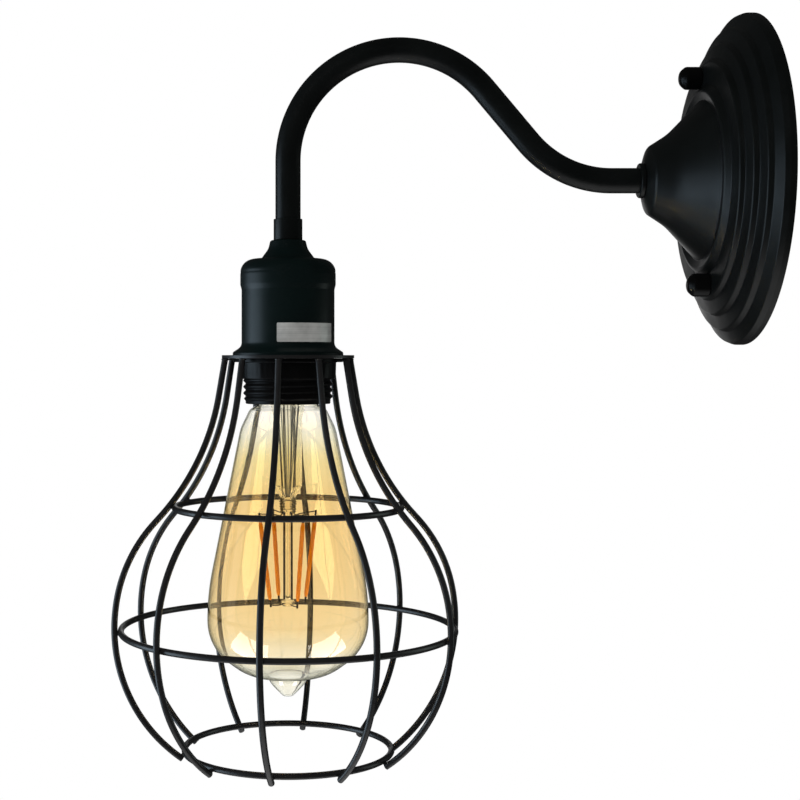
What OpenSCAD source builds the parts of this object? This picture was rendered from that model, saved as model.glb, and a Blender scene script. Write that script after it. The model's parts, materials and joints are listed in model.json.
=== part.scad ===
// Swan-neck wall light: a spun canopy, a bent tube arm, a lampholder in a spun cup,
// a welded wire cage held by a shade ring, and a pear-shaped filament bulb.
// Millimetres. The wall is the plane Y = 0 and the light stands out along -Y; +Z is up.
// Origin: the centre of the canopy's back rim, on the wall and on the arm's axis.

/* [Canopy] */
// Radius of the rim against the wall
canopy_r = 65; // [60:0.5:72]
// Distance from the wall to the flat end of the nose
canopy_h = 39.4; // [37:0.2:46]
// Thickness of the spun sheet
canopy_sheet = 1; // [0.8:0.1:1.3]
// Radius of the flat disc that the cap nuts sit on
disc_r = 46.6; // [45:0.1:50]
// Height of that disc above the wall
disc_h = 15.2; // [14:0.2:17]
// Height of the rim's rounded edge
rim_h = 4.2; // [3:0.2:5]
// Steps turned between the disc and the rim
step_count = 3; // [2:1:4]
// How far each step drops at its edge
step_drop = 2.1; // [1.4:0.1:2.3]
// Radius of the cone's foot
cone_r = 31.5; // [29:0.5:32]
// Radius of the nose where the cone ends
nose_r = 13.5; // [12.5:0.1:16]

/* [Wall bracket] */
// Width of the strip
bracket_w = 24; // [20:1:28]
// Thickness of the strip
bracket_t = 1.5; // [1.2:0.1:2]
// Lift of the two ends off the wall
bracket_lift = 3.6; // [3.2:0.1:4.5]
// Half of the strip's length
bracket_reach = 48; // [47:0.5:50]
// Half of the level stretch against the wall
bracket_flat = 31.5; // [31:0.5:34]
// Distance between the two wall screw holes
screw_pcd = 52; // [48:0.5:54]
// Diameter of a wall screw hole
screw_hole_d = 4.6; // [4:0.1:5.2]
// Diameter of the hole for the house cable
cable_hole_d = 12; // [9:0.5:13]
// Distance of each stud from the centre
stud_reach = 42; // [41.4:0.2:42.4]
// Turn of the bracket on the wall
stud_angle = 8; // [0:1:20]
// Diameter of the studs
stud_d = 4; // [3.5:0.1:4.5]

/* [Cap nuts] */
// Outer diameter
cap_d = 9.1; // [8.4:0.1:9.2]
// Length of the straight wall
cap_wall_h = 5.9; // [5.6:0.1:8]
// Height of the dome
cap_dome_h = 2.4; // [1.8:0.1:4]
// Length of stud that each nut takes up
cap_grip = 5.6; // [4:0.1:6]

/* [Arm] */
// Outside diameter of the tube
tube_d = 10; // [9:0.1:10.4]
// Wall of the tube
tube_wall = 1; // [0.7:0.1:1.2]
// Length of tube inside the canopy
arm_tail = 11; // [8:0.5:13]
// Level run between the nose and the first bend
arm_lead = 12.6; // [6:0.2:30]
// Radius of the first bend
low_bend_r = 43; // [30:1:60]
// Radius of the top bend
top_bend_r = 44; // [36:1:60]
// Angle of the straight slope between the bends
slope_angle = 50; // [35:1:60]
// Length of that slope
slope_len = 27; // [10:1:60]
// Straight drop between the top bend and the lower collar
arm_drop = 23; // [8:0.5:60]

/* [Collars and nuts] */
// Outer radius of the collar at the nose
nose_collar_r = 6.9; // [6.2:0.1:7.2]
// Thickness of the collar at the nose
nose_collar_t = 1.8; // [1.2:0.1:4]
// Outer radius of the lower collar
arm_collar_r = 5.7; // [5.6:0.1:6.4]
// Length of the lower collar
arm_collar_h = 8.3; // [5:0.1:12]
// Width across the flats of the lock nut in the nose
lock_nut_af = 13; // [12:0.5:13.5]
// Thickness of that nut
lock_nut_t = 4; // [3:0.1:5]

/* [Holder cup] */
// Height of the cup
cup_h = 45.4; // [44:0.2:50]
// Thickness of the cup's sheet
cup_sheet = 0.8; // [0.6:0.1:0.9]
// Outer radius of the body
cup_r = 18.4; // [18.3:0.1:19.2]
// How far the band under the shoulder stands proud
cup_band = 0.5; // [0.3:0.1:0.8]
// Outer radius of the flange
cup_flange_r = 21.9; // [21.4:0.1:23]
// Outer radius of the neck
cup_neck_r = 7; // [6.9:0.1:7.6]
// Height of the foil label
label_h = 7.4; // [5:0.1:8]
// Arc that the label covers
label_arc = 79; // [40:1:120]

/* [Lampholder] */
// Wall of the moulded parts
mould = 2.2; // [1.8:0.1:2.2]
// Radius over the skirt's thread
skirt_r = 17.7; // [17.6:0.1:17.9]
// Depth of that thread
skirt_thread = 0.9; // [0.5:0.1:0.9]
// Pitch of that thread
skirt_pitch = 2.5; // [2:0.1:3]
// Length of skirt showing under the shade ring
skirt_show = 9.8; // [8:0.1:12]
// Height of the shade ring
ring_h = 8; // [6:0.2:9.4]
// Outer radius of the shade ring's body
ring_r = 18.9; // [18.8:0.1:20]
// Outer radius of the shade ring's flange
ring_flange_r = 21.8; // [20.6:0.1:23]
// Thickness of that flange
ring_flange_t = 1.4; // [1:0.1:2]
// Thickness of the screw shell
shell_t = 0.5; // [0.3:0.1:0.7]

/* [Cage] */
// Diameter of the wire
wire_d = 2.5; // [2:0.1:3]
// Number of ribs
rib_count = 10; // [6:1:12]
// Turn of the first rib from the +X side
rib_angle = -8.5; // [-18:0.5:18]
// Radius of the rib centres under the plate
rib_top_r = 25.1; // [25:0.1:28]
// Lean of the ribs as they leave the plate
rib_lean = 9.7; // [5:0.1:15]
// Straight length under the plate
rib_straight = 14.6; // [10:0.1:25]
// Radius of the outward flare
flare_r = 93.4; // [80:0.2:110]
// Turn of the flare
flare_turn = 33.1; // [28:0.1:36]
// Straight length between the flare and the belly
rib_link = 2.6; // [1:0.1:10]
// Radius of the belly's bend
belly_r = 58; // [54:0.5:64]
// Turn of the belly's bend
belly_turn = 35.6; // [33:0.1:38]
// Radius of the bend under the belly
under_r = 63.7; // [58:0.1:68]
// Turn of the bend under the belly
under_turn = 61; // [52:0.5:66]
// Turn into the flare at which the shoulder ring is welded
shoulder_ring_turn = 29; // [20:0.5:31]
// Turn under the belly at which the middle ring is welded
middle_ring_turn = 9; // [2:0.5:30]
// Rib left past the foot ring
rib_overhang = 0.5; // [0.2:0.1:4]
// Thickness of the top plate
plate_t = 1.2; // [1:0.1:2]
// Rim of the plate outside the rib centres
plate_lap = 1.1; // [1:0.1:3]

/* [Bulb] */
// Largest radius of the glass
glass_r = 31.9; // [30.5:0.1:34]
// Length from the tip contact to the glass's lowest point
bulb_len = 142; // [139:0.5:150]
// Thickness of the glass
glass_t = 0.9; // [0.6:0.1:1]
// Radius of the cap over its thread
cap_r = 13.1; // [12.9:0.05:13.2]
// Pitch of the cap's thread
cap_pitch = 3.6; // [3.4:0.1:3.8]
// Length of the cap's metal
cap_len = 22.6; // [22:0.1:24]
// Height of the drop under the glass
drop_h = 7.4; // [6.6:0.1:10]
// Radius of the drop under the glass
drop_r = 8.3; // [6.6:0.1:10]
// Diameter of a filament
filament_d = 1.5; // [1:0.1:2]
// Height of the filaments
filament_h = 31; // [25:0.5:33]
// Distance of the filaments from the axis at their top
filament_top_r = 12.3; // [10:0.1:14]
// Distance of the filaments from the axis at their foot
filament_foot_r = 8; // [6:0.1:10]

/* [Wiring] */
// Diameter of an insulated lead
lead_d = 2.2; // [1.6:0.1:2.4]
// Distance of each lead from the tube's axis
lead_side = 1.6; // [1.5:0.05:1.7]

/* [Hidden] */
$fn = 64;

// Gap left between faces that rest on each other
seat = 0.1;
// Radial play of threads and shafts in their holes
play = 0.05;
// Wider gap where a round face meets a bent one
easy = 0.3;
// Length that a cut runs past the face it opens
over = 1;
// Straights are a hair thinner than the bends that they bite into
hair = 0.02;
bite = 0.4;
// Sides of the round wire and of a lead
wire_fn = 24;
lead_fn = 8;

// Radii
stud_r = stud_d / 2;
tube_r = tube_d / 2;
wire_r = wire_d / 2;
thread_root_r = skirt_r - skirt_thread;

// Heights above the wall, along -Y
lift_h = bracket_lift + bracket_t;
cap_seat_h = disc_h + seat;
stud_tip_h = cap_seat_h + cap_grip;
bend_h = canopy_h + arm_lead;
arm_in_h = canopy_h - arm_tail;

// Distance of the lamp's axis from the wall, and the level where the top bend ends
arm_reach = bend_h + low_bend_r * sin(slope_angle) + slope_len * cos(slope_angle)
    + top_bend_r * (1 + sin(slope_angle));
drop_z = (low_bend_r + top_bend_r) * (1 - cos(slope_angle)) + slope_len * sin(slope_angle) - top_bend_r;

// Levels down the lamp's axis
collar_z = drop_z - arm_drop;
cup_z = collar_z - arm_collar_h - seat;
flange_z = cup_z - cup_h;
plate_z = flange_z - seat;
ring_z = plate_z - plate_t - seat;
ring_foot_z = ring_z - ring_h;
skirt_foot_z = ring_foot_z - skirt_show;

// ---------- outlines ----------

function unit(v) = v / norm(v);
function turned(p, a) = [p.x * cos(a) - p.y * sin(a), p.x * sin(a) + p.y * cos(a)];
function left_of(v) = [-v.y, v.x];
function reversed(list) = [for (i = [len(list) - 1:-1:0]) list[i]];

// Steps along an arc: finer on wide bends, coarser on small ones
function arc_steps(turn, r) = max(2, ceil(turn / (r > 12 ? 4 : 12)));

// The corner b between a and c, rounded to radius r
function bend_points(a, b, c, r) = let (
        u = unit(a - b),
        v = unit(c - b),
        half = acos(u * v) / 2,
        centre = b + unit(u + v) * r / sin(half),
        from = b + u * r / tan(half) - centre,
        turn = 180 - 2 * half,
        side = sign(cross(b - a, c - b)),
        steps = arc_steps(turn, r)
    ) [for (k = [0:steps]) centre + turned(from, side * turn * k / steps)];

// A path of [x, y, corner radius] as plain points
function rounded(path) = let (last = len(path) - 1, flat = [for (p = path) [p.x, p.y]]) [
    for (i = [0:last])
        if (i == 0 || i == last || path[i].z == 0) flat[i]
        else each bend_points(flat[i - 1], flat[i], flat[i + 1], path[i].z)
];

// The same path moved t to its left, its corner radii following
function shifted(path, t) = let (last = len(path) - 1, flat = [for (p = path) [p.x, p.y]]) [
    for (i = [0:last]) let (
        u = i == 0 ? unit(flat[1] - flat[0]) : unit(flat[i] - flat[i - 1]),
        v = i == last ? u : unit(flat[i + 1] - flat[i]),
        mid = unit(left_of(u) + left_of(v)),
        moved = flat[i] + mid * t / (mid * left_of(u)),
        r = path[i].z - sign(cross(u, v)) * t
    ) [moved.x, moved.y, path[i].z == 0 ? 0 : max(0.2, r)]
];

// A sheet of thickness t on the left of a path
module sheet(path, t) {
    polygon(concat(rounded(path), reversed(rounded(shifted(path, t)))));
}

// A washer-like ring standing on Z = 0
module tube_ring(r_out, r_in, h) {
    difference() {
        cylinder(r = r_out, h = h);
        translate([0, 0, -over]) cylinder(r = r_in, h = h + 2 * over);
    }
}

module hex_nut(af, bore_r, h) {
    difference() {
        cylinder(d = af / cos(30), h = h, $fn = 6);
        translate([0, 0, -over]) cylinder(r = bore_r, h = h + 2 * over);
    }
}

// ---------- placing ----------

// Z becomes the way out from the wall, starting h from it
module from_wall(h) {
    translate([0, -h, 0]) rotate([90, 0, 0]) children();
}

// The same, with Y along the turned bracket
module on_bracket(h) {
    rotate([0, -stud_angle, 0]) from_wall(h) children();
}

module at_studs(h) {
    for (side = [-1, 1]) on_bracket(h) translate([0, side * stud_reach, 0]) children();
}

module at_lamp(z) {
    translate([0, -arm_reach, z]) children();
}

// ---------- canopy ----------

step_lean = 0.9;
band_rise = 2.2;
lowest_step_h = rim_h + band_rise + step_drop;
cone_foot_h = disc_h + 1.7;
bead_h = disc_h + 2.7;
face_r = 7.5;

function step_r(i) = disc_r + i * (canopy_r - disc_r) / step_count;
function step_h(i) = disc_h - i * (disc_h - lowest_step_h) / (step_count - 1);

// Out from the rim to the tube, as [radius, height, corner radius]
canopy_path = concat(
    [[canopy_r, 0, 0], [canopy_r, rim_h - 2, 0.8], [canopy_r - 0.8, rim_h, 0.8]],
    [for (i = [step_count - 1:-1:0]) each [
        [step_r(i) + step_lean, step_h(i) - step_drop, 0.6],
        [step_r(i), step_h(i), 1.1]
    ]],
    [
        [cone_r + 6.2, disc_h, 0.8],
        [cone_r + 3.8, bead_h, 1.8],
        [cone_r, cone_foot_h, 0.5],
        [nose_r + 4.9, canopy_h - 9.7, 25],
        [nose_r, canopy_h - 2, 2.4],
        [face_r, canopy_h, 3],
        [tube_r + play, canopy_h, 0]
    ]
);

module canopy() {
    color("#1c1d1f") difference() {
        from_wall(0) rotate_extrude() sheet(canopy_path, canopy_sheet);
        at_studs(disc_h - 2 * canopy_sheet) cylinder(r = stud_r + easy, h = 4 * canopy_sheet);
    }
}

module nose_collar() {
    color("#1c1d1f") from_wall(canopy_h + seat) rotate_extrude() polygon(rounded([
        [tube_r + play, 0, 0],
        [nose_collar_r, 0, 0.3],
        [nose_collar_r, nose_collar_t, 0.6],
        [tube_r + play, nose_collar_t, 0]
    ]));
}

module nose_lock_nut() {
    color("silver") from_wall(canopy_h - canopy_sheet - easy - lock_nut_t)
        hex_nut(lock_nut_af, tube_r + play, lock_nut_t);
}

// ---------- wall bracket and its fasteners ----------

joggle = 3;
stud_head_d = 7.6;
stud_head_h = 2.2;
stud_nut_af = 7;
stud_nut_t = 3.2;
earth_reach = 13.5;
earth_screw_r = 1.95;
earth_washer_r = 4;
earth_washer_t = 0.8;
earth_head_r = 3.4;
earth_head_h = 2.4;

// One half of the strip's side view: level on the wall, its end lifted
bracket_half = [
    [bracket_flat, 0],
    [bracket_flat + joggle, bracket_lift],
    [bracket_reach, bracket_lift],
    [bracket_reach, lift_h],
    [bracket_flat + joggle - bracket_t / 2, lift_h],
    [bracket_flat - bracket_t / 2, bracket_t]
];

module wall_bracket() {
    color("silver") on_bracket(0) difference() {
        rotate([90, 0, 90]) translate([0, 0, -bracket_w / 2]) linear_extrude(bracket_w)
            polygon(concat(bracket_half, reversed([for (p = bracket_half) [-p.x, p.y]])));
        translate([0, 0, -over]) cylinder(d = cable_hole_d, h = lift_h + 2 * over);
        translate([0, -earth_reach, -over]) cylinder(r = earth_screw_r + play, h = lift_h + 2 * over);
        for (side = [-1, 1]) {
            translate([0, side * screw_pcd / 2, -over]) cylinder(d = screw_hole_d, h = lift_h + 2 * over);
            translate([0, side * stud_reach, -over]) cylinder(r = stud_r + play, h = lift_h + 2 * over);
        }
    }
}

// Pan-head screws put through from behind the lifted ends
module bracket_studs() {
    head_h = bracket_lift - seat - stud_head_h;
    color("silver") at_studs(head_h) {
        cylinder(d = stud_head_d, h = stud_head_h);
        cylinder(r = stud_r, h = stud_tip_h - head_h);
    }
}

module stud_nuts() {
    color("silver") at_studs(lift_h + seat) hex_nut(stud_nut_af, stud_r + play, stud_nut_t);
}

// A blind domed nut that runs on the stud's end
module cap_nut() {
    top = cap_wall_h + cap_dome_h;
    bore_h = cap_grip + 0.5;
    rotate_extrude() polygon(rounded([
        [stud_r + play, 0, 0],
        [cap_d / 2, 0, 0.3],
        [cap_d / 2, cap_wall_h, 1.6],
        [cap_d / 3.6, top, 3],
        [0, top, 0],
        [0, bore_h, 0],
        [stud_r + play, bore_h, 0]
    ]));
}

module cap_nut_upper() {
    color("#0c0d0e") on_bracket(cap_seat_h) translate([0, stud_reach, 0]) cap_nut();
}

module cap_nut_lower() {
    color("#0c0d0e") on_bracket(cap_seat_h) translate([0, -stud_reach, 0]) cap_nut();
}

module earth_screw() {
    color("goldenrod") on_bracket(bracket_t + seat) translate([0, -earth_reach, 0]) {
        translate([0, 0, -bracket_t]) cylinder(r = earth_screw_r, h = bracket_t + earth_washer_t);
        cylinder(r = earth_washer_r, h = earth_washer_t);
        cylinder(r = earth_head_r, h = earth_washer_t + earth_head_h);
    }
}

// ---------- terminal block ----------

poles = [-1, 0, 1];
pole_pitch = 7.6;
pole_r = 3.2;
pole_h = 11.5;
block_reach = 13.5;
block_size = [22.4, 8.4, 6.6];
entry_h = 3.4;
entry_r = lead_d / 2 + 0.4;
clamp_r = 1.7;
clamp_len = 3;

module at_poles(z) {
    on_bracket(bracket_t + seat + z) for (i = poles) translate([i * pole_pitch, block_reach, 0]) children();
}

module terminal_block() {
    color("#e9e7df") difference() {
        union() {
            on_bracket(bracket_t + seat) translate([-block_size.x / 2, block_reach - block_size.y / 2, 0])
                cube(block_size);
            at_poles(0) cylinder(r = pole_r, h = pole_h);
        }
        at_poles(entry_h) translate([0, block_size.y, 0]) rotate([90, 0, 0])
            cylinder(r = entry_r, h = 2 * block_size.y);
        at_poles(pole_h - clamp_len) cylinder(r = clamp_r, h = clamp_len + over);
    }
}

// Slotted clamp screws sunk in the poles
module terminal_screws() {
    color("goldenrod") at_poles(pole_h - clamp_len + seat) difference() {
        cylinder(r = clamp_r - seat, h = 2.2);
        translate([-clamp_r, -0.3, 1.5]) cube([2 * clamp_r, 0.6, over]);
    }
}

// ---------- lampholder, seen as depths below the cup's top ----------

bush_r = cup_neck_r - cup_sheet - 2 * seat;
bush_flange_r = bush_r + 2.4;
bush_flange_t = 1.5;
dome_r = thread_root_r - 0.2;
dome_top_d = 10.4;
dome_in_d = dome_top_d + mould;
dome_step_d = 21;
dome_foot_d = 27.5;
spigot_r = dome_r - 1.5;
spigot_in_r = spigot_r - mould;
carrier_t = 5.5;
ledge_d = dome_foot_d + carrier_t + 2 * seat;
skirt_in_r = thread_root_r - mould;
tube_foot_d = 11;
shell_r = cap_r + 2 * play;
shell_foot_z = skirt_foot_z + 4.5;

// Levels of the bulb
carrier_z = cup_z - dome_foot_d - seat;
shell_z = carrier_z - carrier_t - seat;
tip_z = shell_z - 5.1;
tip_t = 0.9;
bulb_cap_z = tip_z - 3.5;
bulb_cap_foot_z = bulb_cap_z - cap_len;
bulb_foot_z = tip_z - bulb_len;
belly_foot_z = bulb_foot_z + drop_h;

terminal_reach = 7.5;
terminal_size = [6.4, 6.4, 7.5];
terminal_bore_r = lead_d / 2 + easy;
terminal_z = carrier_z + seat;
tail_r = 1.2;

// ---------- leads ----------

lead_step = 7.5;
slope_steps = ceil(slope_angle / lead_step);
over_turn = slope_angle + 90;
over_steps = ceil(over_turn / lead_step);
slope_start = [bend_h + low_bend_r * sin(slope_angle), low_bend_r * (1 - cos(slope_angle))];
slope_end = slope_start + slope_len * [cos(slope_angle), sin(slope_angle)];
top_centre = slope_end + top_bend_r * [sin(slope_angle), -cos(slope_angle)];
tube_foot_z = cup_z - tube_foot_d;

// Points of the tube's axis as [distance from wall, level], a few degrees of bend apart
arm_axis = concat(
    [[arm_in_h, 0]],
    [for (k = [0:slope_steps]) let (a = slope_angle * k / slope_steps)
        [bend_h + low_bend_r * sin(a), low_bend_r * (1 - cos(a))]],
    [for (k = [0:over_steps]) let (a = slope_angle - over_turn * k / over_steps)
        top_centre + top_bend_r * [-sin(a), cos(a)]],
    [[arm_reach, collar_z], [arm_reach, tube_foot_z]]
);

// A round lead through a list of points, as one skin of rings
module lead(points) {
    last = len(points) - 1;
    rings = [
        for (i = [0:last]) let (
            along = unit(points[min(i + 1, last)] - points[max(i - 1, 0)]),
            n = unit(cross(along, [1, 0, 0])),
            m = cross(along, n)
        ) for (k = [0:lead_fn - 1])
            points[i] + lead_d / 2 * (cos(360 * k / lead_fn) * n + sin(360 * k / lead_fn) * m)
    ];
    skin = [
        for (i = [0:last - 1], k = [0:lead_fn - 1]) let (
            next = (k + 1) % lead_fn,
            a = i * lead_fn,
            b = a + lead_fn
        ) each [[a + k, b + k, b + next], [a + k, b + next, a + next]]
    ];
    ends = [[for (k = [0:lead_fn - 1]) k], [for (k = [lead_fn - 1:-1:0]) last * lead_fn + k]];
    polyhedron(rings, concat(ends, skin));
}

// A point over the bracket, given across it, along it and out from the wall
function over_bracket(x, y, h) = [
    x * cos(stud_angle) - y * sin(stud_angle), -h, y * cos(stud_angle) + x * sin(stud_angle)
];

// From a pole of the terminal block into the tube, through it, and down to a terminal
function main_route(side) = let (
        pole_y = block_reach - block_size.y / 2,
        entry = bracket_t + seat + entry_h,
        bush_foot_z = cup_z - dome_in_d - bush_flange_t
    ) concat(
    [
        over_bracket(side * pole_pitch, pole_y + 2, entry),
        over_bracket(side * pole_pitch, pole_y - 1, entry),
        over_bracket(side * 7, 5, entry + 1.6),
        over_bracket(side * 5.4, 2, entry + 6),
        [side * 3, 0.5 - entry - 12, 0.4],
        [side * 1.9, 4 - arm_in_h, 0]
    ],
    [for (p = arm_axis) [side * lead_side, -p.x, p.y]],
    [
        [side * 1.7, -arm_reach, bush_foot_z + 1],
        [side * 2.4, -arm_reach, bush_foot_z - 0.6],
        [side * 4.6, -arm_reach, bush_foot_z - 2.4],
        [side * 6.7, -arm_reach, bush_foot_z - 3.6],
        [side * terminal_reach, -arm_reach, terminal_z + terminal_size.z],
        [side * terminal_reach, -arm_reach, terminal_z + terminal_size.z - 2]
    ]
);

module lead_live() {
    color("saddlebrown") lead(main_route(-1));
}

module lead_neutral() {
    color("royalblue") lead(main_route(1));
}

// From the middle pole over the cable hole to the earth screw's head
module lead_earth() {
    pole_y = block_reach - block_size.y / 2;
    entry = bracket_t + seat + entry_h;
    screw_top = bracket_t + seat + earth_washer_t + earth_head_h + lead_d / 2 + seat;
    color("yellowgreen") lead([
        over_bracket(0, pole_y + 2, entry),
        over_bracket(0, pole_y - 1, entry),
        over_bracket(-0.6, 5, entry + 0.4),
        over_bracket(-1, 0, screw_top + 0.6),
        over_bracket(-0.8, -5, screw_top + 0.8),
        over_bracket(0, 1.5 - earth_reach, screw_top),
        over_bracket(0, -1.5 - earth_reach, screw_top)
    ]);
}

// ---------- arm ----------

// A bend of the child section towards its own +X side, starting along +Z
module bend_in(r, a) {
    translate([r, 0, 0]) rotate([90, 0, 180]) rotate_extrude(angle = a) translate([r, 0]) children(0);
}

// The same away from its +X side
module bend_out(r, a) {
    translate([-r, 0, 0]) rotate([90, 0, 0]) rotate_extrude(angle = a) translate([r, 0]) children(0);
}

// Moves to the end of such a bend, Z along the way on
module after_in(r, a) {
    translate([r * (1 - cos(a)), 0, r * sin(a)]) rotate([0, a, 0]) children();
}

module after_out(r, a) {
    translate([r * (cos(a) - 1), 0, r * sin(a)]) rotate([0, -a, 0]) children();
}

// A straight of a bent bar or tube, running on into the bends before and after it
module straight(r, bore_r, length, before, after) {
    translate([0, 0, -before]) difference() {
        cylinder(r = r - hair, h = length + before + after);
        if (bore_r > 0) translate([0, 0, -over]) cylinder(r = bore_r + hair, h = length + 2 * (bite + over));
    }
}

tube_bore_r = tube_r - tube_wall;

module tube_section() {
    difference() {
        circle(r = tube_r);
        circle(r = tube_bore_r);
    }
}

module arm_tube() {
    lead_in = bend_h - arm_in_h;
    color("#1c1d1f") from_wall(arm_in_h) rotate([0, 0, 90]) {
        straight(tube_r, tube_bore_r, lead_in, 0, bite);
        translate([0, 0, lead_in]) {
            bend_in(low_bend_r, slope_angle) tube_section();
            after_in(low_bend_r, slope_angle) {
                straight(tube_r, tube_bore_r, slope_len, bite, bite);
                translate([0, 0, slope_len]) {
                    bend_out(top_bend_r, over_turn) tube_section();
                    after_out(top_bend_r, over_turn)
                        straight(tube_r, tube_bore_r, drop_z - tube_foot_z, bite, 0);
                }
            }
        }
    }
}

module arm_collar() {
    color("#1c1d1f") at_lamp(collar_z - arm_collar_h) rotate_extrude() polygon(rounded([
        [tube_r + play, 0, 0],
        [arm_collar_r, 0, 0.2],
        [arm_collar_r, arm_collar_h, 0.2],
        [tube_r + play, arm_collar_h, 0]
    ]));
}

// ---------- holder cup ----------

shoulder_d = 7.9;
band_foot_d = 17.5;
flare_d = cup_h - 3.4;
label_foot_d = flare_d - 1.7;
label_start = -13.5;
label_t = 0.12;

// Down the outside of the cup, as [radius, level below its top, corner radius]
cup_path = [
    [tube_r + play, 0, 0],
    [cup_neck_r, 0, 0.9],
    [cup_neck_r + 0.8, -3.4, 6],
    [cup_neck_r + 3.6, 0.7 - shoulder_d, 0.9],
    [cup_r + cup_band, -shoulder_d, 5.4],
    [cup_r + cup_band, -band_foot_d, 0.3],
    [cup_r, -band_foot_d - 0.8, 0.9],
    [cup_r, -flare_d, 3],
    [cup_flange_r, 1.1 - cup_h, 0.9],
    [cup_flange_r, -cup_h, 0]
];

module holder_cup() {
    color("#1a2226") at_lamp(cup_z) rotate_extrude() sheet(cup_path, -cup_sheet);
}

// Plain foil wrapped round the body
module rating_label() {
    color("silver") at_lamp(cup_z - label_foot_d) rotate([0, 0, label_start])
        rotate_extrude(angle = label_arc) translate([cup_r + play, 0]) square([label_t, label_h]);
}

// ---------- lampholder ----------

// Metal bush screwed on the tube's end: it holds the dome and presses up on the cup
module holder_bush() {
    foot = -dome_in_d - seat;
    color("silver") at_lamp(cup_z) rotate_extrude() polygon([
        [tube_r + play, -cup_sheet - seat],
        [bush_r, -cup_sheet - seat],
        [bush_r, foot],
        [bush_flange_r, foot],
        [bush_flange_r, foot - bush_flange_t],
        [tube_r + play, foot - bush_flange_t]
    ]);
}

module holder_dome() {
    color("#222222") at_lamp(cup_z) rotate_extrude() polygon(rounded([
        [bush_r + play, -dome_top_d, 0],
        [dome_r, -dome_top_d, 4.6],
        [dome_r, -dome_step_d, 0.3],
        [spigot_r, -dome_step_d, 0],
        [spigot_r, -dome_foot_d, 0],
        [spigot_in_r, -dome_foot_d, 0],
        [spigot_in_r, -dome_in_d, 2.5],
        [bush_r + play, -dome_in_d, 0]
    ]));
}

thread_foot_z = skirt_foot_z + 1.9;
thread_turns = floor((flange_z - thread_foot_z) / skirt_pitch);
wave_steps = 8;

// One rounded ridge a pitch, from the root radius out by the depth
function ridges(root, depth, foot, pitch, turns) = [
    for (k = [0:turns * wave_steps])
        [root + depth * (1 - cos(360 * k / wave_steps)) / 2, foot + pitch * k / wave_steps]
];

module holder_skirt() {
    top = cup_z - dome_step_d - seat;
    ledge = cup_z - ledge_d;
    color("#222222") at_lamp(0) rotate_extrude() polygon(concat(
        [[skirt_in_r, skirt_foot_z], [thread_root_r, skirt_foot_z]],
        ridges(thread_root_r, skirt_thread, thread_foot_z, skirt_pitch, thread_turns),
        [[thread_root_r, top], [spigot_r + play, top], [spigot_r + play, ledge], [skirt_in_r, ledge]]
    ));
}

module contact_carrier() {
    color("#e9e7df") at_lamp(carrier_z - carrier_t) difference() {
        cylinder(r = spigot_r - seat, h = carrier_t);
        for (side = [-1, 1]) translate([side * terminal_reach, 0, -over])
            cylinder(r = tail_r + play, h = carrier_t + 2 * over);
    }
}

// Terminals with tails riveted down through the carrier
module holder_terminals() {
    color("goldenrod") for (side = [-1, 1]) at_lamp(0) translate([side * terminal_reach, 0, 0]) difference() {
        union() {
            translate([-terminal_size.x / 2, -terminal_size.y / 2, terminal_z]) cube(terminal_size);
            translate([0, 0, carrier_z - carrier_t]) cylinder(r = tail_r, h = carrier_t + over);
        }
        translate([0, 0, terminal_z + terminal_size.z - 3]) cylinder(r = terminal_bore_r, h = 3 + over);
    }
}

// Threaded sleeve for the bulb, closed by a narrow flange with a tab to its terminal
module screw_shell() {
    flange_in_r = shell_r - 2;
    color("goldenrod") at_lamp(0) {
        translate([0, 0, shell_foot_z]) tube_ring(shell_r + shell_t, shell_r, shell_z - shell_foot_z);
        translate([0, 0, shell_z - shell_t]) tube_ring(shell_r + shell_t, flange_in_r, shell_t);
        translate([terminal_reach - tail_r, -2.5, shell_z - shell_t]) cube([shell_r - terminal_reach + tail_r, 5, shell_t]);
    }
}

// Springy strip from the live terminal's tail to the bulb's tip
module centre_contact() {
    strip_t = 0.5;
    color("goldenrod") at_lamp(0) rotate([90, 0, 0]) translate([0, 0, -2.5]) linear_extrude(5) sheet([
        [-terminal_reach - 1.6, shell_z, 0],
        [-terminal_reach + 1.8, shell_z, 0.8],
        [-2.2, tip_z + seat + strip_t, 0.8],
        [2, tip_z + seat + strip_t, 0.8],
        [3.4, tip_z + seat + strip_t + 1.2, 0]
    ], -strip_t);
}

module shade_ring() {
    color("#222222") at_lamp(ring_z) rotate_extrude() polygon(rounded([
        [skirt_r + play, 0, 0],
        [ring_flange_r, 0, 0.3],
        [ring_flange_r, -ring_flange_t, 0.4],
        [ring_r + 0.2, -ring_flange_t, 0.3],
        [ring_r, -ring_h, 0.6],
        [skirt_r + play, -ring_h, 0]
    ]));
}

// ---------- cage ----------

weld = 0.05;
belly_link = 0.6;
rib_top_z = plate_z - plate_t - wire_r * sin(rib_lean) - weld;

// Ends of the rib's straights and bends, as [radius, level]; headings lean out from straight down
function heading(a) = [sin(a), -cos(a)];
function out_of(a) = [cos(a), sin(a)];
flare_start = [rib_top_r, rib_top_z] + rib_straight * heading(rib_lean);
flare_lean = rib_lean + flare_turn;
function flare_at(turn) = flare_start + flare_r * (out_of(rib_lean) - out_of(rib_lean + turn));
belly_start = flare_at(flare_turn) + rib_link * heading(flare_lean);
under_lean = flare_lean - belly_turn;
under_start = belly_start + belly_r * (out_of(under_lean) - out_of(flare_lean)) + belly_link * heading(under_lean);
function under_at(turn) = under_start + under_r * (out_of(under_lean - turn) - out_of(under_lean));

module wire() {
    circle(d = wire_d, $fn = wire_fn);
}

module rib_bar(length, before, after) {
    straight(wire_r, 0, length, before, after);
}

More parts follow.
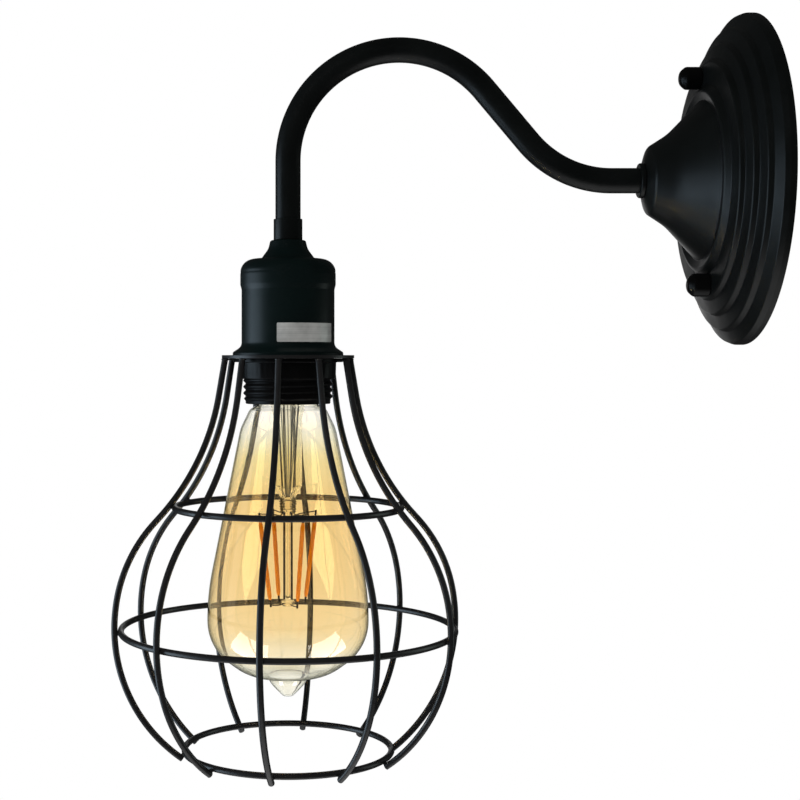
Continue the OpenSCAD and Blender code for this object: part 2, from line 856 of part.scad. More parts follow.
// One rib, starting along +Z: straight, flare, link, belly, link, and the bend under it
module rib() {
    rib_bar(rib_straight, 0, bite);
    translate([0, 0, rib_straight]) {
        bend_in(flare_r, flare_turn) wire();
        after_in(flare_r, flare_turn) {
            rib_bar(rib_link, bite, bite);
            translate([0, 0, rib_link]) {
                bend_out(belly_r, belly_turn) wire();
                after_out(belly_r, belly_turn) {
                    rib_bar(belly_link, bite, bite);
                    translate([0, 0, belly_link]) {
                        bend_out(under_r, under_turn) wire();
                        after_out(under_r, under_turn) rib_bar(rib_overhang, bite, 0);
                    }
                }
            }
        }
    }
}

module cage_ribs() {
    color("#1c1d1f") at_lamp(rib_top_z) for (i = [0:rib_count - 1])
        rotate([0, 0, rib_angle + i * 360 / rib_count]) translate([rib_top_r, 0, 0])
            mirror([0, 0, 1]) rotate([0, rib_lean, 0]) rib();
}

module cage_plate() {
    color("#1c1d1f") at_lamp(plate_z - plate_t) tube_ring(rib_top_r + plate_lap, skirt_r + 4 * play, plate_t);
}

// A ring of wire welded inside the ribs at a point of their path where they lean by a
module cage_ring(at, a) {
    centre = at - (wire_d + weld) * out_of(a);
    color("#1c1d1f") at_lamp(centre.y) rotate_extrude() translate([centre.x, 0]) wire();
}

module cage_shoulder_ring() {
    cage_ring(flare_at(shoulder_ring_turn), rib_lean + shoulder_ring_turn);
}

module cage_middle_ring() {
    cage_ring(under_at(middle_ring_turn), under_lean - middle_ring_turn);
}

module cage_foot_ring() {
    cage_ring(under_at(under_turn), under_lean - under_turn);
}

// ---------- bulb ----------

cap_foil = 0.3;
cap_thread = 1;
cap_root_r = cap_r - cap_thread;
cap_turns = 5;
cap_thread_z = bulb_cap_z - 1.2 - cap_turns * cap_pitch;
hole_r = 9.4;
neck_r = cap_root_r - cap_foil - 0.2;
neck_z = bulb_cap_foot_z + 4;
glass_flare_r = 18.9;
glass_flare_d = 10;
belly_top_h = 33;
belly_low_h = 12.5;

// Down the outside of the glass, as [radius, level, corner radius]
glass_path = [
    [neck_r, neck_z, 0],
    [neck_r, bulb_cap_foot_z - 0.4, 0.9],
    [neck_r + 3.6, bulb_cap_foot_z - 2.4, 3],
    [glass_flare_r, bulb_cap_foot_z - glass_flare_d, 16],
    [glass_r, belly_foot_z + belly_top_h, 120],
    [glass_r, belly_foot_z + belly_low_h, 20],
    [0.53 * glass_r, belly_foot_z + 1.6, 20],
    [drop_r, belly_foot_z + 0.3, 0.5],
    [0.77 * drop_r, belly_foot_z - 0.4 * drop_h, 6],
    [0.2 * drop_r, bulb_foot_z, 2.2],
    [0, bulb_foot_z, 0]
];

module bulb_glass() {
    color("#c98d3f") at_lamp(0) rotate_extrude() sheet(glass_path, -glass_t);
}

flare_mouth_r = neck_r - glass_t - easy;
stem_z = neck_z - 1.2;
stem_r = 5.6;
stem_t = 0.8;
stem_flare_h = 9;
pinch_r = 2.6;
pinch_h = 5;
pinch_taper_h = 10;
pinch_z = bulb_cap_foot_z - 43;
filament_z = pinch_z - 3.3;
filament_foot_z = filament_z - filament_h;
filament_angle = 28;
wire_thin_r = 0.4;
rod_r = 1.1;
spider_z = filament_foot_z - 1.6;
rod_foot_z = spider_z - 1.2;
button_r = 2.4;
button_h = 2.6;

module bulb_stem() {
    color("#d8c7a6") at_lamp(0) rotate_extrude() sheet([
        [flare_mouth_r, stem_z, 0],
        [stem_r + 1, stem_z - 0.45 * stem_flare_h, 4],
        [stem_r, stem_z - stem_flare_h, 8],
        [stem_r, pinch_z + pinch_taper_h, 3],
        [pinch_r, pinch_z + pinch_h, 2],
        [pinch_r, pinch_z, 0],
        [0, pinch_z, 0]
    ], -stem_t);
}

// Glass rod under the pinch with a round button at its foot
module bulb_rod() {
    color("#d8c7a6") at_lamp(0) rotate_extrude() polygon(rounded([
        [0, pinch_z - seat, 0],
        [rod_r, pinch_z - seat, 0],
        [rod_r, rod_foot_z, 0.4],
        [button_r, rod_foot_z, 0.9],
        [button_r, rod_foot_z - button_h, 1.4],
        [0, rod_foot_z - button_h, 0]
    ]));
}

// A straight wire between two points of one radial plane, given as [radius, level]
module radial_wire(p, q) {
    d = q - p;
    translate([p.x, 0, p.y]) rotate([0, atan2(d.x, d.y), 0]) cylinder(r = wire_thin_r, h = norm(d));
}

module each_filament() {
    for (i = [0:3]) rotate([0, 0, filament_angle + i * 90]) children();
}

// Collar on the stem's pinch with an arm to the top of each filament
module bulb_top_spider() {
    hub_z = pinch_z + 1;
    color("#2a2522") at_lamp(0) {
        translate([0, 0, hub_z]) tube_ring(pinch_r + 0.9, pinch_r + easy, 1.2);
        each_filament() radial_wire([pinch_r + 0.6, hub_z + 0.6], [filament_top_r, filament_z + 0.9]);
    }
}

// Sleeve on the rod with an arm to the foot of each filament, and two wires up beside the rod
module bulb_foot_spider() {
    sleeve_r = rod_r + 0.9;
    color("#2a2522") at_lamp(0) {
        translate([0, 0, spider_z - 0.6]) tube_ring(sleeve_r, rod_r + easy / 2, 1.2);
        each_filament() radial_wire([sleeve_r - 0.3, spider_z], [filament_foot_r - 0.2, filament_foot_z - 0.7]);
        for (side = [-1, 1]) translate([0, side * (sleeve_r - wire_thin_r - seat), spider_z])
            cylinder(r = wire_thin_r, h = pinch_z - easy - spider_z);
    }
}

module bulb_filaments() {
    top = [filament_top_r, filament_z];
    d = [filament_foot_r, filament_foot_z] - top;
    color("#f29a3a") at_lamp(0) each_filament() translate([top.x, 0, top.y]) rotate([0, atan2(d.x, d.y), 0])
        cylinder(d = filament_d, h = norm(d));
}

// Rolled cap: flanged in round the insulator, ridged, and open at the glass
module bulb_cap() {
    wave = ridges(cap_root_r, cap_thread, cap_thread_z, cap_pitch, cap_turns);
    top = bulb_cap_z;
    color("silver") at_lamp(0) rotate_extrude() polygon(concat(
        [[cap_root_r, bulb_cap_foot_z]],
        wave,
        [[cap_root_r, top - 0.8], [hole_r, top], [hole_r, top - cap_foil], [cap_root_r - cap_foil, top - 1.1]],
        reversed([for (p = wave) [p.x - cap_foil, p.y]]),
        [[cap_root_r - cap_foil, bulb_cap_foot_z]]
    ));
}

module bulb_insulator() {
    color("#101010") at_lamp(0) rotate_extrude() polygon([
        [0, tip_z - tip_t - seat],
        [5, tip_z - tip_t - seat],
        [hole_r - seat, bulb_cap_z + 0.1],
        [hole_r - seat, bulb_cap_z - 1.2],
        [0, bulb_cap_z - 1.2]
    ]);
}

module bulb_tip() {
    color("silver") at_lamp(tip_z - tip_t) rotate_extrude() polygon(rounded([
        [0, 0, 0],
        [4.8, 0, 0],
        [4.8, tip_t, 0.5],
        [0, tip_t, 0]
    ]));
}

// Small upright board in the cap with a round capacitor
module bulb_driver() {
    board = [16, 1.2, 14];
    board_z = bulb_cap_z - 2;
    color("seagreen") at_lamp(board_z - board.z) {
        translate([-board.x / 2, -board.y / 2, 0]) cube(board);
        translate([2, board.y / 2, 5]) rotate([-90, 0, 0]) cylinder(r = 3, h = 5);
    }
}

canopy();
wall_bracket();
bracket_studs();
stud_nuts();
cap_nut_upper();
cap_nut_lower();
earth_screw();
terminal_block();
terminal_screws();
lead_live();
lead_neutral();
lead_earth();
arm_tube();
nose_collar();
nose_lock_nut();
arm_collar();
holder_cup();
rating_label();
holder_bush();
holder_dome();
holder_skirt();
contact_carrier();
holder_terminals();
screw_shell();
centre_contact();
shade_ring();
cage_plate();
cage_ribs();
cage_shoulder_ring();
cage_middle_ring();
cage_foot_ring();
bulb_glass();
bulb_stem();
bulb_rod();
bulb_top_spider();
bulb_foot_spider();
bulb_filaments();
bulb_cap();
bulb_insulator();
bulb_tip();
bulb_driver();
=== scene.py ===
import json
import math
import random

import bmesh
import bpy
from mathutils import Euler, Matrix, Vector

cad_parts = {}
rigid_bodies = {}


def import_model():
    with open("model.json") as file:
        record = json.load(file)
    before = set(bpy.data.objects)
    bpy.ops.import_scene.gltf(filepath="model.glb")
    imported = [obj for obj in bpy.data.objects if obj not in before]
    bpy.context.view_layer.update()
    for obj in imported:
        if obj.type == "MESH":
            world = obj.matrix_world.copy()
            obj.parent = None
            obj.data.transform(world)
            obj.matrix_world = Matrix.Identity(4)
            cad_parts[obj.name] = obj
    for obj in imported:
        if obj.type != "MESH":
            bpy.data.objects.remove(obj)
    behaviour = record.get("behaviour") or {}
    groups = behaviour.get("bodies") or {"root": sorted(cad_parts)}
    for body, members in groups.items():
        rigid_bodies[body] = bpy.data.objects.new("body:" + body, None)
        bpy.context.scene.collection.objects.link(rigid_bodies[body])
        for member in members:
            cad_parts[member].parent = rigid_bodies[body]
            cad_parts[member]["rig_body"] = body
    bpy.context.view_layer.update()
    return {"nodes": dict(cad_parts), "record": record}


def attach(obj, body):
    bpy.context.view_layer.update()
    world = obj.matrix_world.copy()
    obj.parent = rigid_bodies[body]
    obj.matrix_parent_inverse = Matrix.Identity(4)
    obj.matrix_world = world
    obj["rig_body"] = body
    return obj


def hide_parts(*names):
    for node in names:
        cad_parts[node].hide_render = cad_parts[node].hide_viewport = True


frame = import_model()
nodes = frame["nodes"]
scene = bpy.context.scene

MM = 0.001
MICRON = 0.000001
TURN = 2 * math.pi
# Closer than this is the same radius
NEAR = 1e-6

# ---------------------------------------------------------------- sizes in millimetres

SEAT = 0.1
PLAY = 0.05

CANOPY_R = 65.0
CANOPY_H = 39.4
CANOPY_SHEET = 1.0
RIM_H = 4.2
BAND_RISE = 2.2
STEPS = 3
STEP_DROP = 2.1
STEP_LEAN = 0.9
DISC_R = 46.6
DISC_H = 15.2
CONE_R = 31.5
NOSE_R = 13.5
FACE_R = 7.5
STUD_R = 2.0
STUD_REACH = 42.0
STUD_ANGLE = math.radians(8)
CAP_NUT_R = 4.55
CAP_NUT_WALL_H = 5.9
CAP_NUT_DOME_H = 2.4
CAP_NUT_BORE_H = 6.1

# The arm: distances from the wall, and the lamp's axis
TUBE_R = 5.0
ARM_IN_H = 28.4
BEND_H = 52.0
LOW_BEND_R = 43.0
TOP_BEND_R = 44.0
SLOPE = math.radians(50)
SLOPE_LEN = 27.0
ARM_DROP = 23.0
LAMP_Y = -180.0
NOSE_COLLAR_R = 6.9
NOSE_COLLAR_T = 1.8
ARM_COLLAR_R = 5.7
ARM_COLLAR_H = 8.3

CUP_R = 18.4
CUP_BAND_R = 18.9
CUP_NECK_R = 7.0
CUP_FLANGE_R = 21.9
CUP_H = 45.4
CUP_SHEET = 0.8
LABEL_FOOT_D = 40.35
LABEL_H = 7.4
LABEL_T = 0.12
LABEL_START = math.radians(-13.5)
LABEL_ARC = math.radians(79)
RING_R = 18.9
RING_FLANGE_R = 21.8
RING_FLANGE_T = 1.4
RING_H = 8.0
SKIRT_R = 17.7
SKIRT_THREAD = 0.9
SKIRT_PITCH = 2.5
SKIRT_IN_R = 14.6
SKIRT_SHOW = 9.8

WIRE_R = 1.25
WELD = 0.05
RIB_COUNT = 10
RIB_ANGLE = math.radians(-8.5)
RIB_TOP_R = 25.1
RIB_LEAN = math.radians(9.7)
PLATE_T = 1.2
PLATE_LAP = 1.1

GLASS_R = 31.9
GLASS_T = 0.4
NECK_R = 11.6
BULB_LEN = 142.0
DROP_R = 8.3
DROP_H = 7.4
STEM_R = 5.6
STEM_T = 0.8
PINCH_R = 2.6
CAP_LEN = 22.6
CAP_ROOT_R = 12.1
CAP_T = 0.3
CAP_PITCH = 3.6
FILAMENT_H = 31.0
FILAMENT_TOP_R = 12.3
FILAMENT_FOOT_R = 8.0
FILAMENT_ANGLES = [math.radians(28 + 90 * k) for k in range(4)]

# Levels down the lamp's axis
DROP_Z = (LOW_BEND_R + TOP_BEND_R) * (1 - math.cos(SLOPE)) + SLOPE_LEN * math.sin(SLOPE) - TOP_BEND_R
COLLAR_Z = DROP_Z - ARM_DROP
CUP_Z = COLLAR_Z - ARM_COLLAR_H - SEAT
TUBE_FOOT_Z = CUP_Z - 11.0
SKIRT_TOP_Z = CUP_Z - 21.1
SHELL_Z = CUP_Z - 33.2
FLANGE_Z = CUP_Z - CUP_H
PLATE_FOOT_Z = FLANGE_Z - SEAT - PLATE_T
RING_FOOT_Z = PLATE_FOOT_Z - SEAT - RING_H
SKIRT_FOOT_Z = RING_FOOT_Z - SKIRT_SHOW
TIP_Z = SHELL_Z - 5.1
CAP_Z = TIP_Z - 3.5
CAP_FOOT_Z = CAP_Z - CAP_LEN
NECK_Z = CAP_FOOT_Z + 4.0
STEM_Z = NECK_Z - 1.2
BULB_FOOT_Z = TIP_Z - BULB_LEN
BELLY_FOOT_Z = BULB_FOOT_Z + DROP_H
PINCH_Z = CAP_FOOT_Z - 43.0
FILAMENT_Z = PINCH_Z - 3.3
FILAMENT_FOOT_Z = FILAMENT_Z - FILAMENT_H
SPIDER_Z = FILAMENT_FOOT_Z - 1.6

# The plate and the ring come this near the piece above, so that no light shows between them at eye level
SIGHT_GAP = 0.03
PLATE_TOP_Z = FLANGE_Z - SIGHT_GAP
RING_TOP_Z = PLATE_FOOT_Z - SIGHT_GAP
RING_RISE = SEAT - SIGHT_GAP

# ---------------------------------------------------------------- outlines


def rounded(path, fine=1.0):
    """[x, y, corner radius] corners as plain points, each corner an arc in steps of 6 degrees times fine."""
    arc_step, chord = 6 * fine, 1.5 * fine
    out = []
    for i, (x, y, r) in enumerate(path):
        if i in (0, len(path) - 1) or r <= 0:
            out.append(Vector((x, y)))
            continue
        b = Vector((x, y))
        u = (Vector(path[i - 1][:2]) - b).normalized()
        v = (Vector(path[i + 1][:2]) - b).normalized()
        half = math.acos(max(-1, min(1, u.dot(v)))) / 2
        centre = b + (u + v).normalized() * r / math.sin(half)
        start = b + u * r / math.tan(half) - centre
        turn = math.pi - 2 * half
        side = 1 if (-u).x * v.y - (-u).y * v.x > 0 else -1
        steps = max(3, math.ceil(math.degrees(turn) / arc_step), math.ceil(turn * r / chord))
        for k in range(steps + 1):
            a = side * turn * k / steps
            out.append(centre + Vector((start.x * math.cos(a) - start.y * math.sin(a),
                                        start.x * math.sin(a) + start.y * math.cos(a))))
    return out


def shifted(path, t):
    """The same corners moved t to the left of the path."""
    least_corner = 0.2
    out = []
    pts = [Vector(p[:2]) for p in path]
    for i, p in enumerate(pts):
        u = (pts[1] - p).normalized() if i == 0 else (p - pts[i - 1]).normalized()
        v = u if i == len(pts) - 1 else (pts[i + 1] - p).normalized()
        lu, lv = Vector((-u.y, u.x)), Vector((-v.y, v.x))
        mid = (lu + lv).normalized()
        q = p + mid * t / mid.dot(lu)
        turn = u.x * v.y - u.y * v.x
        r = path[i][2] - (1 if turn > 0 else -1) * t
        out.append((q.x, q.y, 0 if path[i][2] == 0 else max(least_corner, r)))
    return out


def sheet(path, t):
    """The closed outline of a sheet t thick, to the left of the path."""
    return rounded(path) + list(reversed(rounded(shifted(path, t))))


def divided(loop, cuts):
    """A closed loop with each side p, q cut into cuts(p, q) pieces, at least one."""
    out = []
    for p, q in zip(loop, loop[1:] + loop[:1]):
        count = max(1, cuts(p, q))
        out += [p + (q - p) * k / count for k in range(count)]
    return out


def raised(loop, z):
    """The loop moved up to the level z."""
    return [Vector((p.x, p.y + z)) for p in loop]


def upright(r, low, height, count):
    """Points straight up a radius, close enough for a thread."""
    return [Vector((r, low + height * k / count)) for k in range(count + 1)]


def eased(points):
    """A smooth run through points, in 8 steps from each to the next."""
    steps, last = 8, len(points) - 1
    out = []
    for i in range(last):
        p0, p1, p2, p3 = points[max(i - 1, 0)], points[i], points[i + 1], points[min(i + 2, last)]
        for k in range(steps):
            t = k / steps
            out.append(0.5 * (2 * p1 + (p2 - p0) * t + (2 * p0 - 5 * p1 + 4 * p2 - p3) * t * t
                              + (3 * p1 - p0 - 3 * p2 + p3) * t ** 3))
    return out + [points[-1]]


# ---------------------------------------------------------------- places


def at_lamp(x, y, z):
    """A place given from the lamp's axis."""
    return Vector((x * MM, (y + LAMP_Y) * MM, z * MM))


def polar(r, a, z):
    """A place at a radius and an angle round the lamp's axis."""
    return at_lamp(r * math.cos(a), r * math.sin(a), z)


def lamp_frame(p, a):
    """Radius and level at an angle round the lamp's axis."""
    return polar(p.x, a, p.y)


def wall_frame(p, a):
    """Radius and height above the wall at an angle round the canopy's axis."""
    return Vector((p.x * math.cos(a) * MM, -p.y * MM, p.x * math.sin(a) * MM))


# ---------------------------------------------------------------- mesh building


def finish_mesh(bm, name, material, sharp=35.0):
    """Makes an object of a bmesh, smooth but for the edges sharper than the given degrees."""
    mesh = bpy.data.meshes.new(name)
    bmesh.ops.recalc_face_normals(bm, faces=bm.faces)
    bm.to_mesh(mesh)
    bm.free()
    for p in mesh.polygons:
        p.use_smooth = True
    mesh.set_sharp_from_angle(angle=math.radians(sharp))
    mesh.materials.append(material)
    obj = bpy.data.objects.new(name, mesh)
    scene.collection.objects.link(obj)
    return obj


def place(obj, body, replaced=()):
    """Rides the piece on a body, in the place of CAD nodes."""
    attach(obj, body)
    if replaced:
        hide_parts(*replaced)
    return obj


def lathe(name, profile, where, material, segs=160, closed=True, sharp=35.0, ripple=None):
    """Turns a profile, a closed loop unless closed is False, into a mesh.

    where(p, a) is the place of a profile's point p at an angle a, and ripple(p, a) may move p before that.
    """
    bm = bmesh.new()
    rings = []
    for p in profile:
        if abs(p.x) < NEAR:
            rings.append([bm.verts.new(where(p, 0))])
            continue
        ring = []
        for k in range(segs):
            a = TURN * k / segs
            q = ripple(p, a) if ripple else p
            ring.append(bm.verts.new(where(q, a)))
        rings.append(ring)
    count = len(rings)
    for i in range(count if closed else count - 1):
        r0, r1 = rings[i], rings[(i + 1) % count]
        if len(r0) == 1 and len(r1) == 1:
            continue
        for k in range(segs):
            n = (k + 1) % segs
            if len(r0) == 1:
                bm.faces.new((r0[0], r1[n], r1[k]))
            elif len(r1) == 1:
                bm.faces.new((r0[k], r0[n], r1[0]))
            else:
                bm.faces.new((r0[k], r0[n], r1[n], r1[k]))
    return finish_mesh(bm, name, material, sharp)


def screwed(roots, depth, foot, turns, pitch, sharpness=1.0):
    """A ripple that raises a right-hand helical ridge on the given radii, faded in and out at its ends."""
    top = foot + turns * pitch

    def ripple(p, a):
        if not foot < p.y < top or min(abs(p.x - r) for r in roots) > NEAR:
            return p
        phase = (p.y - foot) / pitch - a / TURN
        fade = min(1.0, (p.y - foot) / (0.5 * pitch), (top - p.y) / (0.5 * pitch))
        return Vector((p.x + depth * fade * (0.5 - 0.5 * math.cos(TURN * phase)) ** sharpness, p.y))

    return ripple


def sweep_into(bm, points, radius, segs=20, reference=Vector((1, 0, 0)), swell=None):
    """Adds a round bar along points, its radius in millimetres times swell(share of the way)."""
    last = len(points) - 1
    rings = []
    for i, p in enumerate(points):
        along = (points[min(i + 1, last)] - points[max(i - 1, 0)]).normalized()
        n = along.cross(reference).normalized()
        m = along.cross(n)
        r = radius * MM * (swell(i / last) if swell else 1.0)
        rings.append([bm.verts.new(p + n * r * math.cos(TURN * k / segs)
                                   + m * r * math.sin(TURN * k / segs)) for k in range(segs)])
    for i in range(last):
        for k in range(segs):
            n = (k + 1) % segs
            bm.faces.new((rings[i][k], rings[i + 1][k], rings[i + 1][n], rings[i][n]))
    bm.faces.new(list(reversed(rings[0])))
    bm.faces.new(rings[-1])


def blob_into(bm, centre, size, seed, rows=7, cols=10):
    """Adds a small lumpy weld bead, its half sizes in millimetres."""
    rng = random.Random(seed)
    phase = [rng.uniform(0, 6.28) for _ in range(3)]
    size = Vector(size) * MM
    top = bm.verts.new(centre + Vector((0, 0, size.z)))
    foot = bm.verts.new(centre - Vector((0, 0, size.z)))
    rings = []
    for i in range(1, rows):
        t = math.pi * i / rows
        ring = []
        for k in range(cols):
            a = TURN * k / cols
            wide = 0.12 * math.sin(3 * a + phase[0]) * math.sin(2 * t + phase[1])
            lump = 1 + wide + 0.06 * math.sin(5 * t + phase[2])
            ring.append(bm.verts.new(centre + Vector((size.x * math.sin(t) * math.cos(a) * lump,
                                                      size.y * math.sin(t) * math.sin(a) * lump,
                                                      size.z * math.cos(t)))))
        rings.append(ring)
    for k in range(cols):
        n = (k + 1) % cols
        bm.faces.new((top, rings[0][k], rings[0][n]))
        bm.faces.new((foot, rings[-1][n], rings[-1][k]))
        for i in range(len(rings) - 1):
            bm.faces.new((rings[i][k], rings[i + 1][k], rings[i + 1][n], rings[i][n]))


# ---------------------------------------------------------------- shader nodes


def feed(tree, term, socket):
    """Links an output to a socket, or sets the socket to a plain value."""
    if isinstance(term, bpy.types.NodeSocket):
        tree.links.new(term, socket)
    else:
        socket.default_value = term


def dress(tree, node, values):
    """Feeds a node's inputs by name."""
    for name, value in values.items():
        feed(tree, value, node.inputs[name])


def shader(name):
    """A new material with its tree, its Principled shader and the object's coordinates."""
    mat = bpy.data.materials.new(name)
    mat.use_nodes = True
    tree = mat.node_tree
    where = tree.nodes.new("ShaderNodeTexCoord").outputs["Object"]
    return mat, tree, tree.nodes["Principled BSDF"], where


def noise(tree, where, scale, detail=4.0, rough=0.55, stretch=None):
    """Noise over the object, drawn out by stretch. Returns its value."""
    if stretch:
        mapping = tree.nodes.new("ShaderNodeMapping")
        dress(tree, mapping, {"Vector": where, "Scale": stretch})
        where = mapping.outputs["Vector"]
    node = tree.nodes.new("ShaderNodeTexNoise")
    dress(tree, node, {"Vector": where, "Scale": scale, "Detail": detail, "Roughness": rough})
    return node.outputs["Fac"]


def ramp(tree, source, stops):
    """A colour ramp. Returns its colour."""
    node = tree.nodes.new("ShaderNodeValToRGB")
    while len(node.color_ramp.elements) < len(stops):
        node.color_ramp.elements.new(0.5)
    for element, (at, colour) in zip(node.color_ramp.elements, stops):
        element.position = at
        element.color = (*colour, 1.0)
    feed(tree, source, node.inputs["Fac"])
    return node.outputs["Color"]


def ranged(tree, source, from_low, from_high, to_low=0.0, to_high=1.0, kind="LINEAR"):
    """A value mapped from one range to another. Returns it."""
    node = tree.nodes.new("ShaderNodeMapRange")
    node.interpolation_type = kind
    dress(tree, node, {"Value": source, "From Min": from_low, "From Max": from_high,
                       "To Min": to_low, "To Max": to_high})
    return node.outputs["Result"]


def spread(tree, source, low, high):
    """Noise, which stays near its middle, spread from low to high."""
    return ranged(tree, source, 0.3, 0.7, low, high)


def maths(tree, operation, *terms):
    """A sum on outputs and plain numbers. Returns its value."""
    node = tree.nodes.new("ShaderNodeMath")
    node.operation = operation
    for term, socket in zip(terms, node.inputs):
        feed(tree, term, socket)
    return node.outputs["Value"]


def mixed(tree, kind, factor, a, b, blend="MIX"):
    """A Mix node for numbers (FLOAT) or colours (RGBA). Returns its result."""
    first, second, result = {"FLOAT": (2, 3, 0), "RGBA": (6, 7, 2)}[kind]
    node = tree.nodes.new("ShaderNodeMix")
    node.data_type = kind
    node.blend_type = blend
    for term, index in ((factor, 0), (a, first), (b, second)):
        feed(tree, term, node.inputs[index])
    return node.outputs[result]


def bump(tree, bsdf, source, strength, height):
    """Bumps the surface by a height in microns."""
    node = tree.nodes.new("ShaderNodeBump")
    dress(tree, node, {"Height": source, "Strength": strength, "Distance": height * MICRON})
    feed(tree, node.outputs["Normal"], bsdf.inputs["Normal"])


def any_ray(tree, path, kinds):
    """1 for a ray of any of these kinds, else 0."""
    seen = path.outputs[kinds[0]]
    for kind in kinds[1:]:
        seen = maths(tree, "MAXIMUM", seen, path.outputs[kind])
    return seen


# ---------------------------------------------------------------- materials


def coated(name, dark, light, rough_low, rough_high,
           grain=14.0, grain_scale=2600.0, specular=0.5, cloud_scale=38.0):
    """Powder coat or moulding: mottled colour, mottled roughness and a fine skin, its grain in microns."""
    mat, tree, bsdf, where = shader(name)
    cloud = noise(tree, where, cloud_scale, 5.0)
    smear = noise(tree, where, 90.0, 6.0, 0.6)
    skin = noise(tree, where, grain_scale, 2.0, 0.5)
    dress(tree, bsdf, {
        "Base Color": ramp(tree, cloud, [(0.35, dark), (0.65, light)]),
        "Roughness": spread(tree, smear, rough_low, rough_high),
        "Specular IOR Level": specular,
    })
    bump(tree, bsdf, skin, 0.35, grain)
    return mat


def metal(name, dark, light, rough_low, rough_high, metallic=1.0):
    """Bare metal with drawn or rolled streaks and faint stains."""
    mat, tree, bsdf, where = shader(name)
    streak = noise(tree, where, 220.0, 6.0, 0.65, (1.0, 1.0, 30.0))
    stain = noise(tree, where, 55.0)
    dress(tree, bsdf, {
        "Base Color": ramp(tree, stain, [(0.3, dark), (0.7, light)]),
        "Roughness": spread(tree, streak, rough_low, rough_high),
        "Metallic": metallic,
    })
    bump(tree, bsdf, streak, 0.2, 30.0)
    return mat


def brushed(name, dark, light, rough_low, rough_high):
    """Label foil: fine level brush lines over a slightly cloudy, half-metal face."""
    mat, tree, bsdf, where = shader(name)
    lines = noise(tree, where, 160.0, 5.0, 0.7, (0.05, 0.05, 22.0))
    cloud = noise(tree, where, 120.0, 3.0)
    both = maths(tree, "MULTIPLY", maths(tree, "ADD", lines, cloud), 0.5)
    dress(tree, bsdf, {
        "Base Color": ramp(tree, both, [(0.38, dark), (0.62, light)]),
        "Roughness": spread(tree, lines, rough_low, rough_high),
        "Metallic": 0.45,
    })
    bump(tree, bsdf, lines, 0.3, 40.0)
    return mat


def striped(name, ground, stripe):
    """A sleeve with a stripe along it."""
    mat, tree, bsdf, where = shader(name)
    wave = tree.nodes.new("ShaderNodeTexWave")
    dress(tree, wave, {"Vector": where, "Scale": 190.0, "Distortion": 0.6, "Detail": 1.0})
    smear = noise(tree, where, 90.0, 5.0)
    dress(tree, bsdf, {
        "Base Color": ramp(tree, wave.outputs["Fac"], [(0.48, ground), (0.52, stripe)]),
        "Roughness": spread(tree, smear, 0.35, 0.5),
    })
    bump(tree, bsdf, smear, 0.15, 20.0)
    return mat


# Painted shade on blown glass: its colour darkens to near black where it is seen edge on, and is faintly warm
# where it faces the eye
EDGE_SHADE_STOPS = [
    (0.0, (1.0, 0.97, 0.90)), (0.45, (1.0, 0.98, 0.93)), (0.76, (1, 1, 1)),
    (0.88, (0.86, 0.87, 0.82)), (0.945, (0.34, 0.35, 0.28)), (1.0, (0.03, 0.03, 0.02)),
]


def glass(name, stops, low_z, high_z):
    """Clear blown glass tinted by height, with faint waviness and a rim of painted shade where it is seen
    edge on.
    """
    mat, tree, bsdf, where = shader(name)
    split = tree.nodes.new("ShaderNodeSeparateXYZ")
    feed(tree, where, split.inputs["Vector"])
    waver = noise(tree, where, 30.0, 2.0)
    height = ranged(tree, split.outputs["Z"], low_z * MM, high_z * MM)
    tint = ramp(tree, maths(tree, "MULTIPLY_ADD", waver, 0.03, height), stops)
    facing = tree.nodes.new("ShaderNodeLayerWeight")
    facing.inputs["Blend"].default_value = 0.7
    # Painted shade: the colour is darkened by how edge on the surface is seen, not by any lamp
    rim = ramp(tree, facing.outputs["Facing"], EDGE_SHADE_STOPS)
    dress(tree, bsdf, {
        "Base Color": mixed(tree, "RGBA", 1.0, tint, rim, "MULTIPLY"),
        "Transmission Weight": 1.0,
        "Roughness": 0.0,
        "IOR": 1.46,
    })
    bump(tree, bsdf, waver, 0.04, 400.0)
    return mat


# From the droplet's foot up to the neck: clear foot, a grey band of painted shade low on the belly just above
# the droplet, amber belly, clear neck
AMBER_LEVELS = (-204.0, -84.0)
AMBER_AND_SHADE_STOPS = [
    # The grey stop at 0.080 is painted shade, the dark crescent seen low on the bulb
    (0.0, (0.97, 0.975, 0.94)), (0.064, (0.97, 0.975, 0.94)), (0.080, (0.56, 0.56, 0.46)),
    (0.098, (0.94, 0.94, 0.88)), (0.13, (0.99, 0.985, 0.95)), (0.165, (0.985, 0.93, 0.78)),
    (0.20, (0.985, 0.880, 0.665)), (0.33, (0.970, 0.835, 0.585)), (0.45, (0.955, 0.808, 0.545)),
    (0.66, (0.945, 0.800, 0.530)), (0.80, (0.940, 0.860, 0.620)), (0.868, (0.965, 0.950, 0.850)),
    (0.93, (0.99, 0.99, 0.98)), (1.0, (0.995, 0.995, 0.99)),
]
CLEAR_LEVELS = (-175.0, -84.0)
CLEAR_STOPS = [(0.0, (0.93, 0.92, 0.86)), (1.0, (0.93, 0.94, 0.92))]

LOOKS = {}


def add(maker, name, *values, **options):
    """Makes a material and keeps it under its name."""
    LOOKS[name] = maker(name, *values, **options)


